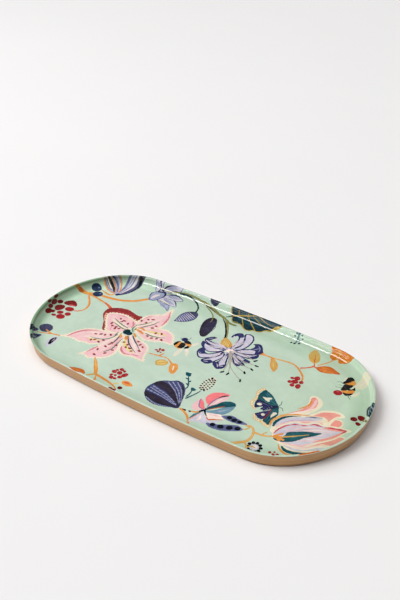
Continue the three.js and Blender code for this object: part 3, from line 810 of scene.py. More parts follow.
def left_end():
    """Branches, berries and leaves, and a tall petal and a bud that run up the wall."""
    # the branches
    limb([-233+34j, -222+36j, -211+38.5j, -200+42j], [5, 6, 5.6, 5.6], "orange")
    limb([-220+36.5j, -216+37j, -211+38.5j], [4.6, 6.6, 4], "rust")
    limb([-206+41j, -196+44.5j, -183+47.5j, -165+50.5j, -150+56.5j, -140+64j, -129+77j],
         [5.6, 4.6, 4.4, 4.4, 4.6], "orange")
    limb([-204+40j, -188+39j, -174+36.5j, -166+34.5j], [3.4, 3, 3, 2.4], "orange")
    limb([-172+36.5j, -163+33.5j, -154+29j], [2.8, 4, 4.6], "brick")
    limb([-201+38j, -192+29j, -185+20j, -182.5+10j, -185+3j, -190-1j], [2.4, 2.8, 2.8, 2.4, 2.2], "orange")
    limb([-185+4j, -187+0.5j, -192-2j], [1.4, 2.4, 2.2], "brick")
    limb([-196+58j, -186+55.5j, -178+55j, -174+61j], [1.2, 2.6, 3.2, 2.6], "orange")
    # the tall petal, pale behind and dark in front
    form([-171+59j, -173+70j, -175.5+84j, -178+98j, -180+116j, -168+118j, -157+117j, -156.5+100j, -157+86j,
          -159+75j, -164+65j], "lilac", 1j)
    for stripe, width, ink in (
        ([-171.5+64j, -174+82j, -177+100j, -179+116j], [1.6, 3, 3.6, 4], "violet"),
        ([-171+64j, -171.5+84j, -172.5+116j], [0.8, 1.6, 2.4], "haze"),
        ([-169.5+66j, -168.5+84j, -169.5+116j], [0.5, 1.2, 1.6], "violet"),
        ([-168+68j, -166+86j, -167+116j], [0.5, 1, 1.4], "shell"),
    ):
        limb(stripe, width, ink)
    form([-171+59j, -167.5+68j, -164.5+80j, -164+95j, -165.5+106j, -168+118j, -157+117j, -156.5+100j,
          -157+86j, -159+75j, -164+65j], "dusk", 1j, 0.8)
    limb([-160+78j, -159+92j, -161+106j, -163+117j], [0.6, 2.6, 5, 6], "ink")
    limb([-166+66j, -162+78j, -161.5+92j], [0.5, 1.2, 0.5], "violet")
    oval(-170.5+61.5j, 3.6, 2.6, "navy", 60)
    # the striped bud
    form([-175+60.5j, -184+61.5j, -194+65.5j, -204+72j, -211+79j, -209+87j, -199+92j, -190+91.5j, -183+86j,
          -177+77j, -171.5+66j], "haze", -2+1j)
    for stripe, width, ink in (
        ([-207+75.5j, -196+69j, -185+64.5j], [1, 1.8, 0.8], "violet"),
        ([-205+78j, -194+72.5j, -184+67.5j], [1.6, 2.6, 1], "shell"),
        ([-204+77j, -194+71j, -184+66j], [0.5, 0.8, 0.5], "navy"),
        ([-208+81j, -196+77j, -186+71.5j, -177.5+62.5j], [2.4, 4, 4.2, 1.2], "black"),
        ([-207+84j, -194+80j, -184+74j, -176+63.5j], [1, 1.6, 1.6, 1.4], "orange"),
        ([-205+87j, -193+83.5j, -183+77.5j, -175+66j], [1.6, 2.6, 2.2, 0.8], "violet"),
        ([-200+90j, -190+86.5j, -181+80j, -174.5+69j], [1.4, 2.2, 2, 0.6], "lilac"),
        ([-201+84.5j, -191+82.5j], [1.6, 2.2, 0.6], "navy"),
        ([-175+61j, -184+62j, -194+66j, -205+73j, -211+79.5j], [1.8, 2, 2, 1.6], "orange"),
        ([-199+92j, -190+91j, -183+85.5j, -177+76.5j, -172+66j], [1.6, 2, 2, 1.8], "orange"),
    ):
        limb(stripe, width, ink)
    # the dark fruit on the branches, then two clusters of berries and their leaf
    berries([(-203+56j, 7.2), (-193+47j, 7)], "night", "violet")
    for centre, rx, ry, turn in (
        (-212-7j, 5.6, 7.6, -12), (-219+1j, 2.8, 4.6, -20), (-223.5-8j, 3.6, 5.8, -8),
        (-221-17j, 3, 4.6, -16), (-216.5-24j, 3.8, 6.4, -10), (-213-18.5j, 2.6, 3.2, 0),
        (-229-2j, 2.6, 4.2, 0), (-228-16j, 2.4, 4, 0),
    ):
        oval(centre, rx, ry, "darkred", turn, 0.8)
    for centre, rx, ry, turn in (
        (-199-2.5j, 6.4, 5, 12), (-204-15j, 4.6, 3.8, 20), (-193-12.5j, 4.4, 4, 0), (-197-22j, 6.2, 5.4, 0),
        (-207-24j, 3.6, 2.6, 10),
    ):
        oval(centre, rx, ry, "berry", turn, 0.9)
    form([-215+4j, -214+11j, -209+16j, -202+14.5j, -196+8j, -201+5j, -209+3j], "darkred", 1, 0.9)
    limb([-207+5j, -202+6.5j, -198+8j], [1.6, 3.6, 1.6], "crimson")
    # lower left leaves
    limb([-197-66j, -191-62j, -184-59j, -178-56.5j, -165-53j], [1.4, 1.8, 2.2, 2.2], "orange")
    oval(-194-51.5j, 9.4, 8.6, "dusk", -20, 0.8)
    limb([-192-54j, -184-56j, -178-56.5j], [1.6, 2.2, 1.6], "orange")
    for edge in (
        [-199-60j, -204-66j, -209-74j, -214-84j, -204-90j, -198-82j, -197-70j],
        [-188-66j, -192-68j, -194.5-76j, -193-86j, -190-97j, -184-97j, -185-86j, -187-76j],
    ):
        rimmed(edge, "violet", "indigo", 1.2, edge[3] - edge[0])
    limb([-190-72j, -189-84j, -187-94j], [0.5, 1.6, 0.8], "haze")
    form([-169.5-57j, -173.5-63j, -174-70j, -171-76j, -167-81j, -163.5-74j, -164-65j, -166.5-59j], "lilac",
         1j)
    form([-169.5-59.5j, -172-64j, -171.5-69j, -168-75.5j, -165.5-74j, -166-67j, -167-61j], "ink", 1j)
    limb([-169.5-61j, -168-66j, -168.5-69.5j], [0.8, 1.8, 0.5], "stone")


def top_leaves():
    """The long stem along the back with the leaves that hang from it and stand up the wall."""
    limb([-132+104j, -115+104j, -99+107.5j, -84+110.5j, -66+109j, -47+104.5j, -28+99j, -12+94j],
         [1.2, 2.2, 2.8, 3.2, 3.2, 3], "olive")
    limb([-66+108j, -46+103.5j, -28+98j], [0.5, 1.2, 0.6], "pine")
    limb([-98+107j, -84+108.5j, -72+105j, -64+99j, -60.5+92j, -60+85j], [2.4, 2.6, 2.4, 1.8], "pine")
    limb([-18+95.5j, -9+91.5j, 1.5+91.5j], [2, 3.6, 3], "olive")
    grey = Blade(-58+88j, -71+54.5j, 21, 0.05, 0.42, 0.75, 0.9)
    grey.fill("dusk", streak=0.7)
    grey.fill("slate", 1, 0.3)
    for k in range(9):
        grey.ray("lilac", [0.5, 1.1, 0.5], 0.22 + 0.08 * k, 0.26 + 0.08 * k, -0.85, 0.85)
    limb([-59+90j, -62+80j], [1.6, 0.6], "pine")
    plum = [
        -32+90.5j, -37+87j, -39+79j, -37.5+70j, -34+61j, -29+52j, -23+47j, -18.5+50j, -18+60j, -19.5+70j,
        -22+80j, -26.5+88j,
    ]
    form(plum, "plum", 1-4j, 0.6)
    grain = Blade(-31+89j, -22+49j, 19, 0.03, 0.5)
    grain.streaks("dusk", 8, 0.8, 0.05, 1, 0.9, seed=130)
    limb([-54+104j, -44+99.5j, -36+92.5j, -32+85j, -31+79j], [1.4, 1.6, 1.8, 1.4, 0.6], "olive")
    form([-51+123j, -50.5+115j, -47+110j, -42+108.5j, -37.5+113j, -34+123j], "indigo", 1j)
    crown_leaf()
    limb([84+121j, 83.5+112j, 82.5+106j, 81.5+99.5j], [2.4, 2.8, 2.2, 1.6], "lagoon")
    for spot in (
        76.5+100j, 81+100.5j, 86.5+102.5j, 78.5+110j, 80.5+114.5j, 89.5+109.5j, 88+114j, 85.5+106j,
    ):
        oval(spot, 1.5, 1.2, "pine", 30)


def right_branch():
    """The orange branch on the right, its leaves and berries, and the flower up the back wall."""
    form([57+65j, 60+62.5j, 63+61j, 63+58.5j, 60+57j, 57.5+56.5j], "orange")
    limb([60+60j, 73+60j, 86+62.5j, 98+64j, 107+61.5j, 116+55j, 122.5+48j, 125.5+40j],
         [2.6, 2.4, 2.4, 2.6, 2], "orange")
    limb([63+60.5j, 78+61.5j, 92+64j, 103+63.5j], [0.5, 1.1, 1.1, 0.5], "gold")
    limb([111+61.5j, 118+67.5j, 122.5+74j, 121+79j, 118.5+83j], [2.4, 2.2, 2.6, 2, 1.2], "brick")
    limb([121+73.5j, 125+73.5j, 130+72.5j], [1.8, 2.2, 1.8], "brick")
    limb([125.5+78j, 130+85j, 134+92j, 137+101j], [1.6, 1.8, 1.6], "orange")
    rimmed([72.5+59.5j, 80+57.5j, 86+52j, 89.5+45j, 89+37.5j, 83.5+41j, 78.5+46j, 76+52j], "orange",
           "ochre", 1.2, 1-1j, 0.8)
    limb([79+53j, 82.5+48j, 85.5+43j], [0.6, 2.4, 0.6], "gold")
    form([120.5+80j, 123.5+85j, 121.5+92.5j, 117+99j, 110.5+102.5j, 106.5+98j, 106.5+91j, 110.5+84.5j,
          115.5+80j], "ochre", -1+2j, 0.8)
    limb([119.5+81j, 117+88j, 112.5+97j], [1.6, 0.9, 0.4], "rust")
    form([126.5+74.5j, 132+81j, 140+84.5j, 148.5+82j, 156+78.5j, 149+74.5j, 142+71j, 134.5+69j, 128.5+71j],
         "rust", 3+1j, 0.8)
    inside = Blade(127+74j, 154+78.5j, 12, 0, 0.45)
    inside.streaks("orange", 6, 0.9, 0.1, 1, 0.85, seed=140)
    limb([128+74j, 140+77j, 152+78.5j], [1.4, 0.9, 0.5], "brick")
    for centre, rx, ry in (
        (118.5+42.5j, 3.6, 4.2), (113.3+40j, 2.6, 2.4), (126+38.5j, 2.8, 3.2), (119+35.5j, 4.2, 3.8),
        (114+32.5j, 2.8, 2.8), (119.5+28.5j, 2.9, 3.4), (126.3+30j, 3.3, 4.6),
    ):
        oval(centre, rx, ry, "berry", 15, 0.9)
        oval(centre + 0.8 + 1.2j, 0.9, 0.6, "crimson", 30)
    # the orange flower that runs up the wall
    flower = [
        130+101j, 131.5+107j, 129+115j, 128+126j, 142+128j, 156+126j, 165+114j, 164+107j, 159+101.5j,
        152+98j, 144+96.5j, 141.5+100.5j, 137.5+97.5j, 133.5+98j,
    ]
    form(flower, "amber", 1+1j, 0.9)
    for row in range(6):
        for k in range(6):
            start = 133 + 5.2 * k + 1.5 * (row % 2) + (100 + 3.6 * row) * 1j
            if contains(rows_of(flower), rows_of([start, start + 3.4 + 1.2j])).all():
                limb([start, start + 1.8 + 1.7j, start + 3.6 + 1j], [0.5, 1.1, 0.5],
                     ("ochre", "gold", "rust")[(row + k) % 3])
    limb([141.5+100j, 142.5+108j, 145+115j], [1.4, 1.4, 0.6], "ochre")


def right_end():
    """A bee, and small plants and berries between the tulip and the wall."""
    # the bee, its body in two halves
    for wing in (
        [181+65j, 180+74j, 182+85j, 187+91j, 196+90j, 201+83j, 197+75j, 189+67j],
        [165+69j, 164+76j, 167.5+80j, 168+73j], [183+49j, 186+56j, 189.5+62j, 191+55j, 187+50j],
    ):
        form(wing, "wing", wing[2] - wing[0], 0.9)
    limb([181+68j, 186+75j, 192+81j], [0.5, 1.8, 0.8], "shell")
    form([166.5+79j, 171+81j, 175.5+77j, 173+71j, 169.5+65.5j, 165.5+65j, 166.5+72j], "black")
    form([175+77j, 179.5+72.5j, 178.5+68j, 173.5+63.5j, 169+65j, 172.5+71.5j], "orange", 1+1j)
    form([169+65j, 174+67j, 178.5+68j, 177.5+61j, 175+55j, 170+52.5j, 169+58j], "black")
    form([181.5+66j, 184+61.5j, 183+58j, 178+56j, 176.5+59j, 180+62j], "black")
    form([171.5+52.5j, 177+56.5j, 183.5+60.5j, 184.5+55.5j, 180.5+51.5j, 174.5+49.5j], "orange", 1+1j)
    form([174+50j, 179.5+51.5j, 184.5+55j, 183+49.5j, 178.5+46.5j], "black")
    limb([178+66j, 180+63.5j, 179+60.5j], [0.5, 1.1, 0.5], "wing")
    for leg in (
        [167+65j, 162+66j, 159+64j], [168+61j, 163+60j], [169+57j, 164+55.5j, 161+56j],
        [180+49j, 184+45.5j, 187.5+43j], [182+50j, 186+48j],
    ):
        limb(leg, [1.1, 0.8, 0.6], "sage")
    oval(169.5+46.3j, 5.2, 4.8, "berry", 20, 0.9)
    limb([167+47j, 170+49j], [0.8, 2, 0.8], "crimson")
    limb([214+20j, 220+14j, 227+9j, 234+5j], [2, 3, 3.4], "olive")
    berries([(205.5+15.5j, 4.1)], "darkred", "crimson")
    oval(212+21j, 5.6, 3.8, "darkred", -32, 0.8)
    oval(213+10.5j, 3.9, 2.5, "darkred", -32, 0.8)
    edge = [211+37j, 212+41j, 219+42j, 227+41j, 244+36j, 244+14j, 228+16j, 221+21j, 215+28j]
    rimmed(edge, "ink", "deep", 1.3, 2-2j, 0.8)
    for k in range(4):
        limb([213.5 + 3 * k + (36 + 1.5 * k) * 1j, 220 + 3.4 * k + (27 + 2.4 * k) * 1j,
              229 + 2.6 * k + (19 + 3 * k) * 1j], [0.5, 1.3, 0.7], "blue" if k % 2 else "haze")
    # the small flower and berries under the tulip
    for k in range(10):
        oval(140 - 86j + cmath.rect(7, math.radians(36 * k + 20)), 2.5, 2.1, "ink", 36 * k + 20)
    oval(140-86j, 5.2, 5, "lilac")
    oval(140.5-85.5j, 3, 2.8, "shell")
    limb([133.5-90j, 136-87j, 139-86j, 142-86.5j], [1.4, 1.8, 1.5, 1], "ochre")
    for centre, size in (
        (161.5-80j, 1.5), (157.5-83j, 2), (161.8-84j, 1.9), (166-82j, 2.4), (161.3-87.3j, 1.7),
        (168.5-101j, 1.9), (172.5-102.5j, 2), (175.5-99j, 2.6),
    ):
        oval(centre, size, size * 0.9, "berry", 30, 0.9)
    leaf(196-88j, 214-66j, 13, "rust", -0.05, "orange")


def middle():
    """A second bee, and an orange stem with a bud under it."""
    # the bee, its body in two halves
    for wing in (
        [-28+12j, -29.5+4j, -28-4j, -25-6j, -23.5+2j, -24.5+11j],
        [-23+15j, -19+7j, -13+2j, -14.5+9j, -18+14.5j],
        [-22+26j, -19.5+31j, -15.5+33j, -16.5+27j, -19.5+23j],
    ):
        form(wing, "wing", wing[2] - wing[0], 0.9)
    oval(-20+12j, 2.2, 1.8, "shell")
    oval(-35+29.5j, 4.3, 4, "navy", 20)
    form([-33+26j, -30+30j, -25+28.5j, -21.5+24.5j, -26+23.5j, -31+23.5j], "black")
    form([-31+22.5j, -26+24.5j, -22+25j, -20.5+20.5j, -22.5+18.5j, -27+21j], "orange", 1)
    form([-26+20.5j, -21+20j, -21.5+16j, -25+14j], "black")
    form([-41.5+17j, -40+22j, -36.5+23.5j, -34.5+18j, -36.5+12j, -40.5+13j], "black")
    form([-37.5+22.5j, -34.5+22.5j, -33.5+16j, -34+10.5j, -37.5+11j, -37.5+17j], "orange", 1j)
    form([-34.5+22.5j, -29+22.5j, -26.5+17j, -28+11.5j, -33+11j, -34+16j], "black")
    limb([-34.5+11j, -31.5+10j, -28.5+11j], [1.2, 2.2, 0.8], "orange")
    limb([-25.5+22j, -25.5+17j], [0.5, 1.1, 0.4], "wing")
    for leg in ([-31+29j, -30.5+34j, -31+38j], [-39+27j, -42+31j]):
        limb(leg, [0.8, 0.6], "sage")
    for centre, rx, ry in (
        (-43.8-3.8j, 2.4, 2.5), (-48-4.5j, 1.5, 2.9), (-51-8j, 2, 1.6), (-47.3-9.3j, 1.8, 2),
        (-43.5-9j, 1.4, 1.2),
    ):
        oval(centre, rx, ry, "berry", 25, 0.9)
    limb([-54.5-18.5j, -45-16.5j, -37-15j, -30-14j, -23-17j, -17-21j], [1.4, 2.2, 1.6, 1.8, 2.4], "orange")
    limb([-41-16j, -40-12j, -38.5-8.5j], [1.6, 2.2, 1.6], "orange")
    rimmed([-23.5-20j, -30-18.5j, -36-21.5j, -37.5-27.5j, -32.5-32j, -26.5-29.5j, -23-25j], "ochre", "gold",
           1.8, -2-1j, 0.9)
    limb([-25-20.5j, -30-25j, -34-28.5j], [1.6, 1.8, 0.6], "ochre")
    form([-19-19j, -14-16.5j, -9-19.5j, -6-26j, -5.5-34.5j, -11-34.5j, -15.5-30j, -18.5-24.5j], "orange",
         1-2j, 0.9)
    limb([-14.5-21j, -12-25.5j, -10-30j], [0.8, 2.2, 0.6], "cream")


def lower_left():
    """Forked orange stems with leaves, and the berries to their right."""
    limb([-102.5-62.5j, -95-70j, -86-80j, -80-87.5j], [1.4, 4.2, 5.2, 4], "orange")
    limb([-82-87j, -74-88j, -62-89.5j, -50-92j, -42-95.5j], [3.6, 3.6, 3.2, 2.6, 1.4], "orange")
    limb([-100-64.5j, -92-73j, -84-82j], [0.4, 1.2, 0.5], "gold")
    limb([-80-87.5j, -84-91.5j, -90-98j], [2.6, 2.6, 2], "ochre")
    limb([-78-89j, -75-94j, -70-100j, -66-108j, -63-117j], [1.8, 2.6, 2.4, 2.8, 2.4], "orange")
    first = [-91-94j, -97-89.5j, -106-91j, -113-94j, -120-98j, -112-98.5j, -103-99j, -95-98j]
    form(first, "rust", 3+1j, 0.9)
    Blade(-93-94j, -118-97.5j, 7, 0, 0.45).streaks("orange", 4, 0.8, 0.1, 1, 0.8, seed=170)
    leaf(-76-107j, -108-112j, 11, "rust", 0.05, "orange", 0.6)
    for centre, rx, ry in (
        (-60-63j, 3.1, 2.6), (-55-64j, 2.2, 2), (-63.8-66.5j, 2.2, 1.8), (-65-71j, 3.5, 3),
        (-58-69.5j, 3.7, 3.4), (-50.3-69.5j, 3.3, 4.7), (-53-75.5j, 3.1, 3), (-59.5-75.8j, 2.1, 1.9),
        (-64-77.5j, 1.9, 2.6), (-60.8-81.5j, 3.3, 2.8), (-56-80.8j, 2.3, 2.1),
    ):
        oval(centre, rx, ry, "berry", -20, 0.9)
        oval(centre + 0.6 + 0.9j, 0.9, 0.6, "crimson", 30)
    form([-45.5-80.5j, -42-76.5j, -36-76.5j, -29.5-80.5j, -35.5-84j, -42-84j], "orange", 1, 0.6)
    limb([-43-80j, -38-79j, -34.5-80j], [2, 4, 1], "brick")
    limb([-51-91j, -49.5-87.5j, -46-85.5j], [1.2, 2.8, 2.4], "gold")
    berries([(-40-91j, 3.1), (-43.5-98.5j, 3), (-48.3-97.8j, 2.3)], "darkred", None)
    bunch(-36-112j, 5.5, 7, 2.6, "darkred", "rose", 172)
    leaf(4-103j, 22-112j, 11, "teal", 0.06, "lagoon", 0.6)


def sprigs():
    """A thin teal plant behind the pod, and a dotted grass head."""
    sprig([23-50j, 22.5-43j, 18-36j, 13-29j, 9.5-24j], "teal", 1.6, 5, 5)
    form([6-22.5j, 12.5-21.5j, 12-26j, 10-28j, 7-26.5j], "teal")
    limb([32-60j, 32-52j, 30-45j], [1.8, 1.6, 1.4], "teal")
    form([27-43j, 30-42j, 34.5-43.5j, 31-48j], "teal")
    limb([33-63j, 36-55j, 38.5-47j, 39.5-41j], [2.2, 2, 1.6, 1.2], "teal")
    head = Blade(39.5-41j, 39-13j, 15, 0, 0.48, 0.5, 0.6)
    for row in range(7):
        for column in range(4):
            t = 0.03 + 0.135 * row + 0.06 * (column % 2)  # each second column is half a row higher
            u = -0.78 + 0.52 * column
            oval(head.at(t + 0.1, u), 1.3, 1.2, "cream")
            limb([head.at(t, u), head.at(t + 0.045, u), head.at(t + 0.09, u)], [2, 2.9, 2], "black")


def decorate():
    """Paints every motif, from the lowest layer to the highest."""
    left_end()
    star_flower()
    top_leaves()
    lily()
    middle()
    lower_left()
    sprigs()
    balloon_pod()
    open_bloom()
    right_branch()
    lilac_flower()
    right_end()
    moth()
    pea_pods()
    tulip()


# The paints: each one's colour and the second tone that is brushed into it, from 0 to 255.
inks = {
    "mint": ((196, 216, 198), (202, 220, 203)),
    "rim": ((206, 224, 208), (212, 228, 213)),
    "cream": ((246, 234, 212), (236, 220, 192)),
    "shell": ((248, 222, 214), (250, 234, 224)),
    "blush": ((241, 188, 194), (246, 208, 206)),
    "petal": ((234, 172, 180), (244, 202, 203)),
    "rose": ((214, 122, 136), (228, 158, 164)),
    "coral": ((238, 146, 138), (243, 170, 158)),
    "flame": ((248, 118, 124), (250, 146, 148)),
    "crimson": ((196, 70, 86), (214, 104, 112)),
    "maroon": ((134, 44, 48), (164, 64, 62)),
    "darkred": ((104, 18, 24), (140, 38, 40)),
    "berry": ((150, 28, 38), (172, 48, 52)),
    "orange": ((224, 138, 56), (234, 164, 92)),
    "rust": ((196, 92, 36), (212, 114, 52)),
    "brick": ((212, 92, 62), (224, 120, 84)),
    "amber": ((208, 98, 16), (222, 126, 30)),
    "mustard": ((184, 148, 46), (202, 168, 74)),
    "ochre": ((206, 158, 76), (218, 176, 100)),
    "gold": ((220, 182, 98), (230, 200, 130)),
    "lemon": ((230, 214, 130), (240, 226, 160)),
    "navy": ((36, 38, 80), (62, 64, 110)),
    "ink": ((12, 16, 30), (28, 34, 52)),
    "night": ((22, 38, 72), (42, 60, 96)),
    "indigo": ((34, 36, 62), (56, 60, 92)),
    "plum": ((44, 38, 50), (62, 54, 72)),
    "deep": ((8, 38, 56), (20, 58, 72)),
    "pod": ((58, 64, 104), (84, 90, 130)),
    "dusk": ((56, 56, 84), (80, 80, 110)),
    "slate": ((80, 86, 126), (112, 118, 154)),
    "violet": ((96, 100, 146), (130, 134, 172)),
    "haze": ((152, 156, 190), (180, 182, 208)),
    "mauve": ((188, 166, 192), (206, 188, 208)),
    "lilac": ((200, 194, 212), (218, 212, 226)),
    "teal": ((16, 72, 84), (44, 96, 106)),
    "lagoon": ((56, 110, 122), (90, 138, 146)),
    "pine": ((18, 46, 54), (38, 74, 76)),
    "blue": ((92, 134, 156), (128, 162, 178)),
    "sage": ((98, 120, 104), (128, 146, 126)),
    "olive": ((128, 126, 70), (156, 152, 98)),
    "black": ((28, 26, 28), (54, 50, 48)),
    "stone": ((162, 150, 142), (184, 172, 162)),
    "wing": ((238, 226, 208), (226, 222, 202)),
}


# ---------------------------------------------------------------- places on the rolled-out lining
OVERRUN = 0.25  # how far past the top of the wall painted points may lie
LONGEST = 8.0  # spacing of points up to which they are left out of a straight edge
DENSE = 16000  # stations of the outline among which a point's nearest is looked up
dense_t = np.arange(DENSE) / DENSE
dense_rim, dense_inward = outline(dense_t)
dense_edge = dense_rim + dense_inward * FLOOR_EDGE
edge_tree = kdtree.KDTree(DENSE)
for number, (x, y) in enumerate(dense_edge):
    edge_tree.insert((x, y, 0), number)
edge_tree.balance()


def reach_at(points):
    """How far each flat point lies outside the floor's edge, negative inside, and its nearest station."""
    nearest = np.array([edge_tree.find((x, y, 0))[1] for x, y in points])
    away = dense_edge[nearest] - points
    return (away * dense_inward[nearest]).sum(axis=1), nearest


def brought_in(points):
    """Moves the points that lie past the top of the wall back to just past it."""
    reach, nearest = reach_at(points)
    excess = np.maximum(reach - PRINT_REACH - OVERRUN, 0)
    return points + dense_inward[nearest] * excess[:, None]


def thinned(points, slack=0.045):
    """Leaves out an outline's points that lie on the flat floor and in line with their neighbours."""
    on_floor = reach_at(points)[0] < -1.0
    kept = [points[0]]
    for i in range(1, len(points) - 1):
        ahead = points[i + 1] - kept[-1]
        here = points[i] - kept[-1]
        off_line = abs(ahead[0] * here[1] - ahead[1] * here[0]) / (math.hypot(*ahead) + 1e-9)
        if off_line > slack or not on_floor[i] or math.hypot(*here) > LONGEST:
            kept.append(points[i])
    kept.append(points[-1])
    return np.array(kept)


# ---------------------------------------------------------------- enamel lining
STATIONS = 288  # round the outline
INNER_RING = 3.5  # how far inside the floor's edge the mesh's innermost ring runs
MERGE = 1e-4  # painted points closer than this become one
LIP_BOTTOM = STRIP_TOP + GLUE
GRID = 11.0  # spacing of the mesh points under the floor's plain ground
PRINT_EDGE = 0.35  # width of the unpainted line round the top of the rim
GROUND, RIM = -1, -2  # what shows where no shape does


def wall_face(start, end, steps):
    """[inset, z] points up the enamelled wall between two points of it, without those two."""
    return np.linspace(start, end, steps + 1)[1:-1]


cove = arc(COVE_CENTRE, COVE_RADIUS, DOWN, -TILT, 14)
rim_centre = (wall_inset(HEIGHT - RIM_ROUND, LINING - RIM_ROUND), HEIGHT - RIM_ROUND)
rim_inside = arc(rim_centre, RIM_ROUND, math.pi - TILT, UP, 6)
PROFILE = np.concatenate([  # the enamel's face, from the floor's edge up the wall and over the rim
    cove,
    wall_face(cove[-1], rim_inside[0], 4),
    rim_inside,
    [[PRINT_EDGE, HEIGHT]],
    arc((LIP_ROUND, HEIGHT - LIP_ROUND), LIP_ROUND, UP, 0, 4),
    [[0.0, LIP_BOTTOM]],
])
REACH = np.r_[0, np.cumsum(np.linalg.norm(np.diff(PROFILE, axis=0), axis=1))]
PRINT_ROW = len(cove) + 3 + len(rim_inside)  # the point where the painting ends, on top of the rim
PRINT_REACH = REACH[PRINT_ROW]


def painted_mesh():
    """The enamel's face, triangulated so that the edge of every painted shape is an edge of the mesh.

    It works on the floor's plane, with the cove, wall and rim rolled out flat round the floor. Returns the
    flat points, the triangles and the number of the shape that shows on each (-1 for the ground, -2 for
    the rim), and which points are the outermost ring's.
    """
    rim, inward = outline(np.arange(STATIONS) / STATIONS)
    rings = [rim + inward * (FLOOR_EDGE - reach) for reach in (-INNER_RING, *REACH)]
    columns = np.arange(-HALF_LENGTH, HALF_LENGTH, GRID)
    xs, ys = np.meshgrid(columns, np.arange(-HALF_WIDTH, HALF_WIDTH, GRID))
    grid = np.c_[xs.ravel(), ys.ravel()]
    grid = grid[reach_at(grid)[0] < -GRID / 2]
    flat = [tuple(p) for p in np.concatenate([*rings, grid])]
    outer = len(rings) * STATIONS - STATIONS
    edges = []
    for first in range(0, outer + 1, STATIONS):
        edges.extend((first + i, first + (i + 1) % STATIONS) for i in range(STATIONS))
    painted_outlines = []
    for points, *_ in shapes:
        points = thinned(brought_in(rows_of(points)))
        painted_outlines.append(points)
        first = len(flat)
        flat.extend(tuple(p) for p in points)
        edges.extend((first + i, first + (i + 1) % len(points)) for i in range(len(points)))
    points, _, triangles, origins, _, _ = geometry.delaunay_2d_cdt(
        [Vector(p) for p in flat], edges, [], 0, MERGE, True
    )
    points = np.array([tuple(p) for p in points])
    triangles = np.array(triangles)
    new_number = {old: new for new, olds in enumerate(origins) for old in olds}
    last_ring = [new_number[outer + i] for i in range(STATIONS)]
    middles = points[triangles].mean(axis=1)
    reach, _ = reach_at(middles)
    inside = reach < REACH[-1]
    triangles, middles, reach = triangles[inside], middles[inside], reach[inside]
    seen = np.where(reach > PRINT_REACH, RIM, GROUND)
    order = np.argsort(middles[:, 0])
    sorted_x = middles[order, 0]
    for number, edge in enumerate(painted_outlines):
        (x0, y0), (x1, y1) = edge.min(axis=0), edge.max(axis=0)
        near = order[np.searchsorted(sorted_x, x0) : np.searchsorted(sorted_x, x1)]
        near = near[(middles[near, 1] > y0) & (middles[near, 1] < y1) & (seen[near] > RIM)]
        if len(near):
            seen[near[contains(edge, middles[near])]] = number
    return points, triangles, seen, last_ring


def linear(colour):
    """A 0 to 255 screen colour as linear RGBA."""
    shares = np.asarray(colour) / 255
    return (*np.where(shares < 0.04045, shares / 12.92, ((shares + 0.055) / 1.055) ** 2.4), 1.0)


def add_layer(mesh, name, kind, domain, values):
    """Stores one value per face or point of a mesh for the materials to read."""
    layer = mesh.attributes.new(name, kind, domain)
    field = "color" if kind == "FLOAT_COLOR" else "vector"
    layer.data.foreach_set(field, np.asarray(values, float).ravel())


def enamel_skin():
    """The enamel: its painted face rolled up into shape, and a plain back behind it."""
    flat, triangles, seen, last_ring = painted_mesh()
    reach, nearest = reach_at(flat)
    rim, inward = dense_rim[nearest], dense_inward[nearest]
    slope = np.gradient(PROFILE, REACH, axis=0)
    slope /= np.linalg.norm(slope, axis=1, keepdims=True)
    inset, height, slope_in, slope_up = (
        np.interp(reach, REACH, values) for values in (*PROFILE.T, *slope.T)
    )
    on_floor = (reach <= 0)[:, None]
    level = np.c_[flat, np.full(len(flat), FLOOR)]
    points = np.where(on_floor, level, np.c_[rim + inward * inset[:, None], height])
    normals = np.where(on_floor, (0, 0, 1), np.c_[inward * slope_up[:, None], -slope_in])

    back = [
        *arc(COVE_CENTRE, COVE_RADIUS + COAT, DOWN, -TILT, 8),
        (wall_inset(LIP_BOTTOM, STRIP + GLUE), LIP_BOTTOM),
    ]
    rim, inward = outline(np.arange(STATIONS) / STATIONS)
    rings = [np.c_[rim + inward * inset, np.full(STATIONS, z)] for inset, z in back]
    rows = [[len(points) + j * STATIONS + i for i in range(STATIONS)] for j in range(len(rings))]
    faces = triangles.tolist()
    for low, high in zip(rows, [*rows[1:], last_ring]):
        faces.extend((low[i - 1], low[i], high[i], high[i - 1]) for i in range(STATIONS))
    faces.append(tuple(reversed(rows[0])))
    points = np.concatenate([points, *rings])
    piece = new_piece("enamel_skin", points, faces, enamel(), "enamel", "enamel_lining")

    mesh = piece.data
    colours = {name: [linear(c) for c in pair] for name, pair in inks.items()}
    layers = [(*colours[ink], (along.real, along.imag, streak)) for _, ink, along, streak in shapes]
    layers += [(*colours["rim"], (1.0, 0.0, 0.0)), (*colours["mint"], (1.0, 0.0, 0.0))]
    painted = np.r_[seen, np.full(len(faces) - len(triangles), RIM)]
    kinds = (("ink", "FLOAT_COLOR"), ("tone", "FLOAT_COLOR"), ("brush", "FLOAT_VECTOR"))
    for k, (name, kind) in enumerate(kinds):
        add_layer(mesh, name, kind, "FACE", np.array([layer[k] for layer in layers])[painted])
    rolled = np.zeros((len(mesh.vertices), 3))
    rolled[: len(flat)] = np.c_[flat, reach]
    add_layer(mesh, "rolled", "FLOAT_VECTOR", "POINT", rolled)
    corners = np.zeros((len(mesh.loops), 3))
    corners[: triangles.size] = normals[triangles.ravel()]
    mesh.normals_split_custom_set(corners)
    return piece


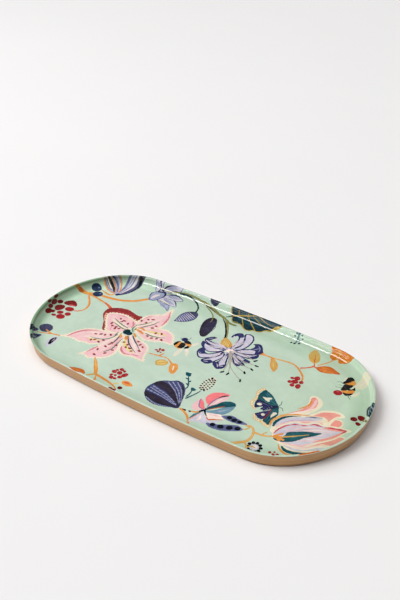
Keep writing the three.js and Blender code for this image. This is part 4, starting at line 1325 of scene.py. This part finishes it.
# ---------------------------------------------------------------- wooden pieces, filler and pads
STRIP_LENGTH = 1180.0  # about the outline's length
STRIP_STEPS = 420  # stretches along the strip's length
STRIP_EDGE = 0.5  # rounding of the strip's top outside edge
SCARF_GLUE = 0.12  # thickness of the glue in the slanted joint
SCARF_EASE = 60.0  # length over which the mesh's rings turn from slanted to square
FILLER_END = 0.3  # thickness at which the filler's two thin edges are cut off
PAD_SIDES = 64
PAD_FUZZ = 0.06  # unevenness of a pad's edge
PAD_PROFILE = (  # shares of a pad's radius and height, from its underside round its edge to its top
    (0.6, 0.0), (0.9, 0.0), (0.985, 0.16), (1.0, 0.4), (1.0, 0.65), (0.985, 0.86), (0.94, 1.0), (0.6, 1.0),
)


def rim_strip():
    """The bent strip, an open hoop whose two ends overlap in a long slanted glue joint at +Y."""
    foot = (wall_inset(FOOT + FOOT_ROUND, FOOT_ROUND), FOOT + FOOT_ROUND)
    top = (wall_inset(STRIP_TOP - STRIP_EDGE, STRIP_EDGE), STRIP_TOP - STRIP_EDGE)
    profile = np.concatenate([
        arc(foot, FOOT_ROUND, DOWN, -TILT, 8),
        arc(top, STRIP_EDGE, -TILT, UP, 3),
        [[wall_inset(STRIP_TOP, STRIP), STRIP_TOP], [wall_inset(FOOT, STRIP), FOOT]],
    ])
    joint_t = (1 + END_SHARE) / 4
    per_mm = (1 - END_SHARE) / 4 / STRAIGHT
    line = SCARF_GLUE / 2 * SCARF / STRIP  # half the glue line's width, measured along the strip
    rings = []
    grain = []
    count = len(profile)
    depth = np.array([inset - wall_inset(z, 0) for inset, z in profile])
    slant = SCARF * (0.5 - depth / STRIP)
    for share in np.linspace(0, 1, STRIP_STEPS):
        ease = max(0, 1 - min(share, 1 - share) * STRIP_LENGTH / SCARF_EASE)
        t = joint_t + share + ((0.5 - share) * 2 * line - slant * ease) * per_mm
        rim, inward = outline(t)
        rings.append(np.c_[rim + inward * profile[:, :1], profile[:, 1]])
        along = share * STRIP_LENGTH - slant * ease
        grain.extend((along[k], profile[k, 1], depth[k]) for k in range(count))
    faces = []
    for j in range(STRIP_STEPS - 1):
        for k in range(count):
            a, b = j * count + k, j * count + (k + 1) % count
            faces.append((a, a + count, b + count, b))
    faces.append(tuple(range(count)))
    faces.append(tuple(reversed(range((STRIP_STEPS - 1) * count, STRIP_STEPS * count))))
    piece = new_piece("bent_strip", np.concatenate(rings), faces, strip_wood(), "hoop_wood", "rim_hoop")
    add_layer(piece.data, "grain", "FLOAT_VECTOR", "POINT", grain)
    soften(piece, 40)
    return piece


def base_board():
    """The flat board inside the strip."""
    profile = [(wall_inset(z, STRIP + GLUE), z) for z in (FOOT, PANEL_TOP)]
    points, faces = sweep(profile, STATIONS, capped=True)
    piece = new_piece("base_board", points, faces, plywood(), "base_wood", "base_panel")
    soften(piece, 40)
    return piece


def corner_filler():
    """The filler behind the enamel's cove, in the corner between board and strip."""
    radius = COVE_RADIUS + COAT + GLUE
    trim = math.acos(1 - (GLUE + FILLER_END) / radius)
    face = arc(COVE_CENTRE, radius, DOWN + trim, -TILT - trim, 10)
    bottom = PANEL_TOP + GLUE
    profile = [
        (wall_inset(bottom, STRIP + GLUE), bottom),
        (wall_inset(face[-1][1], STRIP + GLUE), face[-1][1]),
        *face[::-1],
        (face[0][0], bottom),
    ]
    piece = new_piece("corner_filler", *sweep(profile, STATIONS), filler(), "filler", "cove_fillet")
    soften(piece, 30)
    return piece


def felt_pads():
    """Round felt pads, each in the place of its CAD node."""
    felt = pad_felt()
    for number in range(1, 7):
        node = f"felt_pad_{number}"
        low, high = (np.array(corner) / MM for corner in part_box(node))
        centre, radius, height = (low + high) / 2, (high[0] - low[0]) / 2, high[2]
        dice = random.Random(number)
        points = []
        faces = []
        for share, level in PAD_PROFILE:
            for k in range(PAD_SIDES):
                turn = math.tau * k / PAD_SIDES
                out = radius * share - PAD_FUZZ * dice.random() * (share > 0.95)
                x, y = centre[0] + out * math.cos(turn), centre[1] + out * math.sin(turn)
                points.append((x, y, height * level))
        for j in range(len(PAD_PROFILE) - 1):
            for k in range(PAD_SIDES):
                a, b = j * PAD_SIDES + k, j * PAD_SIDES + (k + 1) % PAD_SIDES
                faces.append((a, b, b + PAD_SIDES, a + PAD_SIDES))
        faces.append(tuple(reversed(range(PAD_SIDES))))
        faces.append(tuple(range(len(points) - PAD_SIDES, len(points))))
        new_piece(f"pad_{number}", points, faces, felt, "pad_felt", node)


def soften(piece, degrees):
    """Smooth shading, except across edges sharper than this."""
    piece.data.set_sharp_from_angle(angle=math.radians(degrees))


# ---------------------------------------------------------------- materials
def new_material(name, **sockets):
    """A material with only a Principled shader, whose own sockets take the values given."""
    material = bpy.data.materials.new(name)
    material.use_nodes = True
    tree = material.node_tree
    shader = tree.nodes["Principled BSDF"]
    for key, value in sockets.items():
        shader.inputs[key.replace("_", " ").title().replace("Ior", "IOR")].default_value = value
    return material, tree, shader


def add(tree, kind, inputs=None, **settings):
    """Adds a node. Its inputs, by name or number, are set to values or linked to other nodes' outputs."""
    node = tree.nodes.new(kind)
    for key, value in settings.items():
        setattr(node, key, value)
    for key, value in (inputs or {}).items():
        if isinstance(value, bpy.types.NodeSocket):
            tree.links.new(value, node.inputs[key])
        else:
            node.inputs[key].default_value = value
    return node


def attribute(tree, name):
    """A value that a mesh stores for its materials."""
    return add(tree, "ShaderNodeAttribute", attribute_name=name)


def stretched(tree, vector, scale):
    """A vector multiplied by a different number along each axis."""
    return add(tree, "ShaderNodeVectorMath", {0: vector, 1: scale}, operation="MULTIPLY").outputs[0]


def noise(tree, vector, scale=1.0, detail=3.0, roughness=0.55, distortion=0.0):
    """A soft random pattern, from 0 to 1."""
    names = ("Vector", "Scale", "Detail", "Roughness", "Distortion")
    values = (vector, scale, detail, roughness, distortion)
    return add(tree, "ShaderNodeTexNoise", dict(zip(names, values))).outputs["Fac"]


def math_node(tree, operation, a, b, clamp=False):
    return add(tree, "ShaderNodeMath", {0: a, 1: b}, operation=operation, use_clamp=clamp).outputs[0]


def spread(tree, value, low, high, to_low=0.0, to_high=1.0):
    """Maps low..high onto to_low..to_high, and stops at both ends."""
    names = ("Value", "From Min", "From Max", "To Min", "To Max")
    return add(tree, "ShaderNodeMapRange", dict(zip(names, (value, low, high, to_low, to_high)))).outputs[0]


def mix(tree, share, a, b, blend="MIX"):
    """Colour a with a share of colour b, or where the blend is MULTIPLY, of a times b."""
    made = add(tree, "ShaderNodeMix", data_type="RGBA", blend_type=blend)
    for socket, value in ((made.inputs[0], share), (made.inputs[6], a), (made.inputs[7], b)):
        if isinstance(value, bpy.types.NodeSocket):
            tree.links.new(value, socket)
        else:
            socket.default_value = value
    return made.outputs[2]


def bump(tree, shader, height, strength, distance, socket="Normal"):
    made = add(tree, "ShaderNodeBump", {"Height": height, "Strength": strength, "Distance": distance})
    tree.links.new(made.outputs[0], shader.inputs[socket])


def tinted(tree, colour, share, tint):
    """A colour multiplied by a tint, in full where the share is 1."""
    return mix(tree, share, colour, mix(tree, 1.0, colour, (*tint, 1.0), "MULTIPLY"))


def both(tree, a, b):
    """The share in which two shares hold at once."""
    return math_node(tree, "MULTIPLY", a, b)


def belt(tree, value, rise, fall):
    """A share that climbs from 0 to 1 over the range rise, and drops back over the range fall."""
    return both(tree, spread(tree, value, *rise), spread(tree, value, *fall, 1.0, 0.0))


def brush_hairs(tree, rolled, brush):
    """Noise drawn out along each shape's own brush direction."""
    along = add(tree, "ShaderNodeCombineXYZ", {0: brush[0], 1: brush[1], 2: 0.0}).outputs[0]
    down = math_node(tree, "MULTIPLY", brush[1], -1.0)
    across = add(tree, "ShaderNodeCombineXYZ", {0: down, 1: brush[0], 2: 0.0}).outputs[0]
    u = add(tree, "ShaderNodeVectorMath", {0: rolled, 1: along}, operation="DOT_PRODUCT").outputs["Value"]
    v = add(tree, "ShaderNodeVectorMath", {0: rolled, 1: across}, operation="DOT_PRODUCT").outputs["Value"]
    stroke_space = add(tree, "ShaderNodeCombineXYZ", {0: u, 1: v, 2: 0.0}).outputs[0]
    return noise(tree, stretched(tree, stroke_space, (0.16, 1.5, 1.0)), 1.0, 3.0, 0.6, 0.4)


def painted_shade_and_light(tree, colour, place, reach):
    """Paints shade and light into the enamel's colour, toward the +X end and in belts up the cove and the
    wall.

    The belts' limits are millimetres outward from the floor's edge, along the cove and the wall.
    """
    # toward the +X end the ground turns yellower and darker: partly its own tint, partly painted shade
    colour = tinted(tree, colour, spread(tree, place[0], 20.0, 205.0), (0.90, 0.92, 0.85))
    off_end = spread(tree, place[0], -195.0, -120.0)
    at_end = spread(tree, place[0], -120.0, -195.0)
    # painted shade in the fold at the foot of the wall, and painted light on the wall above it
    fold = both(tree, belt(tree, reach, (-17.0, -2.0), (5.0, 10.0)), off_end)
    colour = tinted(tree, colour, fold, (0.79, 0.83, 0.79))
    wall = both(tree, belt(tree, reach, (9.0, 11.0), (16.5, 18.0)), spread(tree, place[0], -150.0, -60.0))
    colour = tinted(tree, colour, wall, (1.27, 1.3, 1.3))
    # round the -X end, painted light on the foot of the wall and painted shade on its crest
    foot = both(tree, belt(tree, reach, (-2.0, 3.0), (12.0, 16.0)), at_end)
    colour = tinted(tree, colour, foot, (1.2, 1.34, 1.2))
    crest = both(tree, at_end, spread(tree, reach, 12.0, 17.0))
    return tinted(tree, colour, crest, (0.42, 0.56, 0.4))


def enamel():
    """Pigment in visible brush strokes under a smooth clear glaze."""
    material, tree, shader = new_material(
        "painted_enamel", specular_ior_level=0.0, coat_weight=1.0, coat_roughness=0.06, coat_ior=1.5
    )
    rolled = attribute(tree, "rolled").outputs["Vector"]
    brush = add(tree, "ShaderNodeSeparateXYZ", {0: attribute(tree, "brush").outputs["Vector"]}).outputs
    hairs = brush_hairs(tree, rolled, brush)
    streaks = both(tree, spread(tree, hairs, 0.36, 0.66), brush[2])
    washes = noise(tree, rolled, 0.11, 4.0, 0.6, 0.6)
    share = math_node(tree, "ADD", streaks, spread(tree, washes, 0.42, 0.68, 0.0, 0.75), clamp=True)
    ink, tone = (attribute(tree, name).outputs["Color"] for name in ("ink", "tone"))
    colour = mix(tree, share, ink, tone)
    clouds = spread(tree, noise(tree, rolled, 0.028, 3.0, 0.5), 0.3, 0.7, 0.95, 1.03)
    grain = spread(tree, noise(tree, rolled, 2.2, 2.0, 0.5), 0.3, 0.7, -0.02, 0.02)
    colour = mix(tree, 1.0, colour, math_node(tree, "ADD", clouds, grain), "MULTIPLY")
    place = add(tree, "ShaderNodeSeparateXYZ", {0: in_millimetres(tree)}).outputs
    reach = add(tree, "ShaderNodeSeparateXYZ", {0: rolled}).outputs[2]
    # the base colour carries painted shade and painted light near the walls and the ends
    tree.links.new(painted_shade_and_light(tree, colour, place, reach), shader.inputs["Base Color"])
    tree.links.new(spread(tree, hairs, 0.3, 0.7, 0.42, 0.56), shader.inputs["Roughness"])
    bump(tree, shader, hairs, 0.25, 0.00012)
    bump(tree, shader, noise(tree, rolled, 0.16, 2.0, 0.5), 0.01, 0.0006, "Coat Normal")
    return material


def wood(name, coordinates, pale, mid, dark, roughness):
    """Fine straight-grained wood: coordinates run along the grain in x."""
    material, tree, shader = new_material(name, coat_weight=0.25, coat_roughness=0.3)
    at = coordinates(tree)
    bands = noise(tree, stretched(tree, at, (0.004, 0.42, 0.42)), 1.0, 3.0, 0.55, 0.8)
    fibres = noise(tree, stretched(tree, at, (0.03, 4.5, 4.5)), 1.0, 4.0, 0.65, 0.2)
    pores = noise(tree, stretched(tree, at, (0.16, 9.0, 9.0)), 1.0, 2.0, 0.5)
    patches = noise(tree, stretched(tree, at, (0.02, 0.08, 0.08)), 1.0, 2.0, 0.5)
    base = mix(tree, spread(tree, bands, 0.3, 0.7), linear(mid), linear(pale))
    base = mix(tree, spread(tree, fibres, 0.5, 0.78, 0.0, 0.55), base, linear(dark))
    base = mix(tree, spread(tree, pores, 0.66, 0.75, 0.0, 0.5), base, linear(dark))
    base = mix(tree, 1.0, base, spread(tree, patches, 0.3, 0.7, 0.93, 1.05), "MULTIPLY")
    tree.links.new(base, shader.inputs["Base Color"])
    worn = spread(tree, fibres, 0.3, 0.7, roughness - 0.06, roughness + 0.1)
    tree.links.new(worn, shader.inputs["Roughness"])
    bump(tree, shader, fibres, 0.35, 0.00012)
    return material


def strip_wood():
    """The bent strip's warmer wood, its grain along the strip."""
    return wood(
        "strip_wood",
        lambda tree: attribute(tree, "grain").outputs["Vector"],
        (206, 160, 104), (188, 136, 80), (140, 92, 48), 0.4,
    )


def in_millimetres(tree):
    """The place on the piece, in millimetres."""
    object_place = add(tree, "ShaderNodeTexCoord").outputs["Object"]
    return stretched(tree, object_place, (1 / MM, 1 / MM, 1 / MM))


def plywood():
    """The base board's pale birch."""
    return wood("birch_plywood", in_millimetres, (222, 190, 148), (208, 172, 128), (170, 128, 88), 0.55)


def filler():
    """Matt pale filler with faint specks."""
    material, tree, shader = new_material("filler", specular_ior_level=0.3)
    specks = noise(tree, in_millimetres(tree), 0.9, 4.0, 0.6)
    colour = mix(tree, spread(tree, specks, 0.35, 0.7), linear((222, 212, 190)), linear((204, 190, 164)))
    tree.links.new(colour, shader.inputs["Base Color"])
    tree.links.new(spread(tree, specks, 0.3, 0.7, 0.8, 0.95), shader.inputs["Roughness"])
    bump(tree, shader, specks, 0.4, 0.0001)
    return material


def pad_felt():
    """Dark tufted felt."""
    material, tree, shader = new_material("pad_felt", sheen_weight=0.5, sheen_roughness=0.6, roughness=0.95)
    at = in_millimetres(tree)
    fibres = noise(tree, at, 5.0, 6.0, 0.75, 1.2)
    tufts = noise(tree, at, 0.8, 3.0, 0.6)
    colour = mix(tree, spread(tree, fibres, 0.35, 0.7), linear((52, 50, 52)), linear((98, 94, 94)))
    colour = mix(tree, 1.0, colour, spread(tree, tufts, 0.3, 0.7, 0.85, 1.15), "MULTIPLY")
    tree.links.new(colour, shader.inputs["Base Color"])
    bump(tree, shader, fibres, 0.7, 0.0002)
    return material


# ---------------------------------------------------------------- stage, lights and camera
CAMERA_AZIMUTH = 35.32  # degrees from the front toward the right
CAMERA_ELEVATION = 32.96
CAMERA_DISTANCE = 1.167
CAMERA_AIM = Vector((-0.0752, 0.1188, 0.0014))
LENS = 52.24


def stage_floor():
    """A large plain pale floor at the height of the pads' undersides."""
    half = 12.0
    mesh = bpy.data.meshes.new("floor")
    corners = [(-half, -half), (half, -half), (half, half), (-half, half)]
    mesh.from_pydata([(x, y, 0.0) for x, y in corners], [], [(0, 1, 2, 3)])
    material, tree, shader = new_material("pale_floor", roughness=0.8, specular_ior_level=0.0)
    mottle = noise(tree, in_millimetres(tree), 0.004, 3.0, 0.5)
    pale = mix(tree, mottle, linear((236, 235, 235)), linear((239, 238, 238)))
    tree.links.new(pale, shader.inputs["Base Color"])
    mesh.materials.append(material)
    floor = bpy.data.objects.new("floor", mesh)
    bpy.context.scene.collection.objects.link(floor)


def toward(azimuth, elevation):
    """The direction of a light or the camera: degrees from the front toward the left, and elevation."""
    azimuth, elevation = math.radians(azimuth), math.radians(elevation)
    flat = math.cos(elevation)
    return Vector((-math.sin(azimuth) * flat, -math.cos(azimuth) * flat, math.sin(elevation)))


def place_light(name, lamp, place):
    """Puts a lamp somewhere, turned to the middle of the tray."""
    holder = bpy.data.objects.new(name, lamp)
    holder.location = place
    holder.rotation_euler = place.to_track_quat("Z", "Y").to_euler()
    bpy.context.scene.collection.objects.link(holder)
    return holder


def sun(name, azimuth, elevation, energy, angle):
    """A distant lamp; its angle in degrees makes its shadows soft."""
    lamp = bpy.data.lights.new(name, "SUN")
    lamp.energy = energy
    lamp.angle = math.radians(angle)
    lamp.color = (1.0, 0.995, 0.985)
    return place_light(name, lamp, toward(azimuth, elevation))


def area_light(name, place, energy, size, height=None):
    """A round lamp whose size is in metres, or an oblong one if it is given a height too."""
    lamp = bpy.data.lights.new(name, "AREA")
    lamp.shape = "RECTANGLE" if height else "DISK"
    lamp.size = size
    if height:
        lamp.size_y = height
    lamp.energy = energy
    return place_light(name, lamp, place)


def lights():
    """Soft suns and a side light from the left, and a strip light that adds only gloss."""
    for number, azimuth in enumerate((34, 47, 60)):
        sun(f"key_{number}", azimuth, 54, 0.52, 26).visible_glossy = False
    area_light("strip", toward(26, 23.5) * 6.0, 380, 5.1, 1.6).visible_diffuse = False
    area_light("side", Vector((-1.8, -0.5, 1.5)), 15, 1.0).visible_glossy = False


def surroundings():
    """A room that is bright overhead, dimmer in the gloss, and pale where the camera sees it."""
    world = bpy.data.worlds.new("studio")
    world.use_nodes = True
    tree = world.node_tree
    way = add(tree, "ShaderNodeTexCoord").outputs["Generated"]
    up = add(tree, "ShaderNodeSeparateXYZ", {0: way}).outputs[2]
    overhead = math_node(tree, "POWER", math_node(tree, "MAXIMUM", up, 0.0), 6.0)
    ray = add(tree, "ShaderNodeLightPath").outputs
    dimmed = spread(tree, ray["Is Glossy Ray"], 0.0, 1.0, 1.0, 0.3)
    light = math_node(tree, "MULTIPLY", spread(tree, overhead, 0.0, 1.0, 0.04, 1.88), dimmed)
    seen = math_node(tree, "MULTIPLY", ray["Is Camera Ray"], 0.85)
    background = tree.nodes["Background"]
    background.inputs["Color"].default_value = (0.99, 0.99, 0.99, 1.0)
    tree.links.new(math_node(tree, "MAXIMUM", light, seen), background.inputs["Strength"])
    bpy.context.scene.world = world


def camera():
    """The photo's view of the tray, from the front right and above."""
    back = toward(-CAMERA_AZIMUTH, CAMERA_ELEVATION)
    lens = bpy.data.cameras.new("camera")
    lens.lens = LENS
    lens.clip_start = 0.05
    holder = bpy.data.objects.new("camera", lens)
    holder.location = CAMERA_AIM + back * CAMERA_DISTANCE
    holder.rotation_euler = back.to_track_quat("Z", "Y").to_euler()
    bpy.context.scene.collection.objects.link(holder)
    bpy.context.scene.camera = holder


decorate()
enamel_skin()
rim_strip()
base_board()
corner_filler()
felt_pads()
stage_floor()
lights()
surroundings()
camera()
bpy.context.scene.view_settings.view_transform = "Standard"
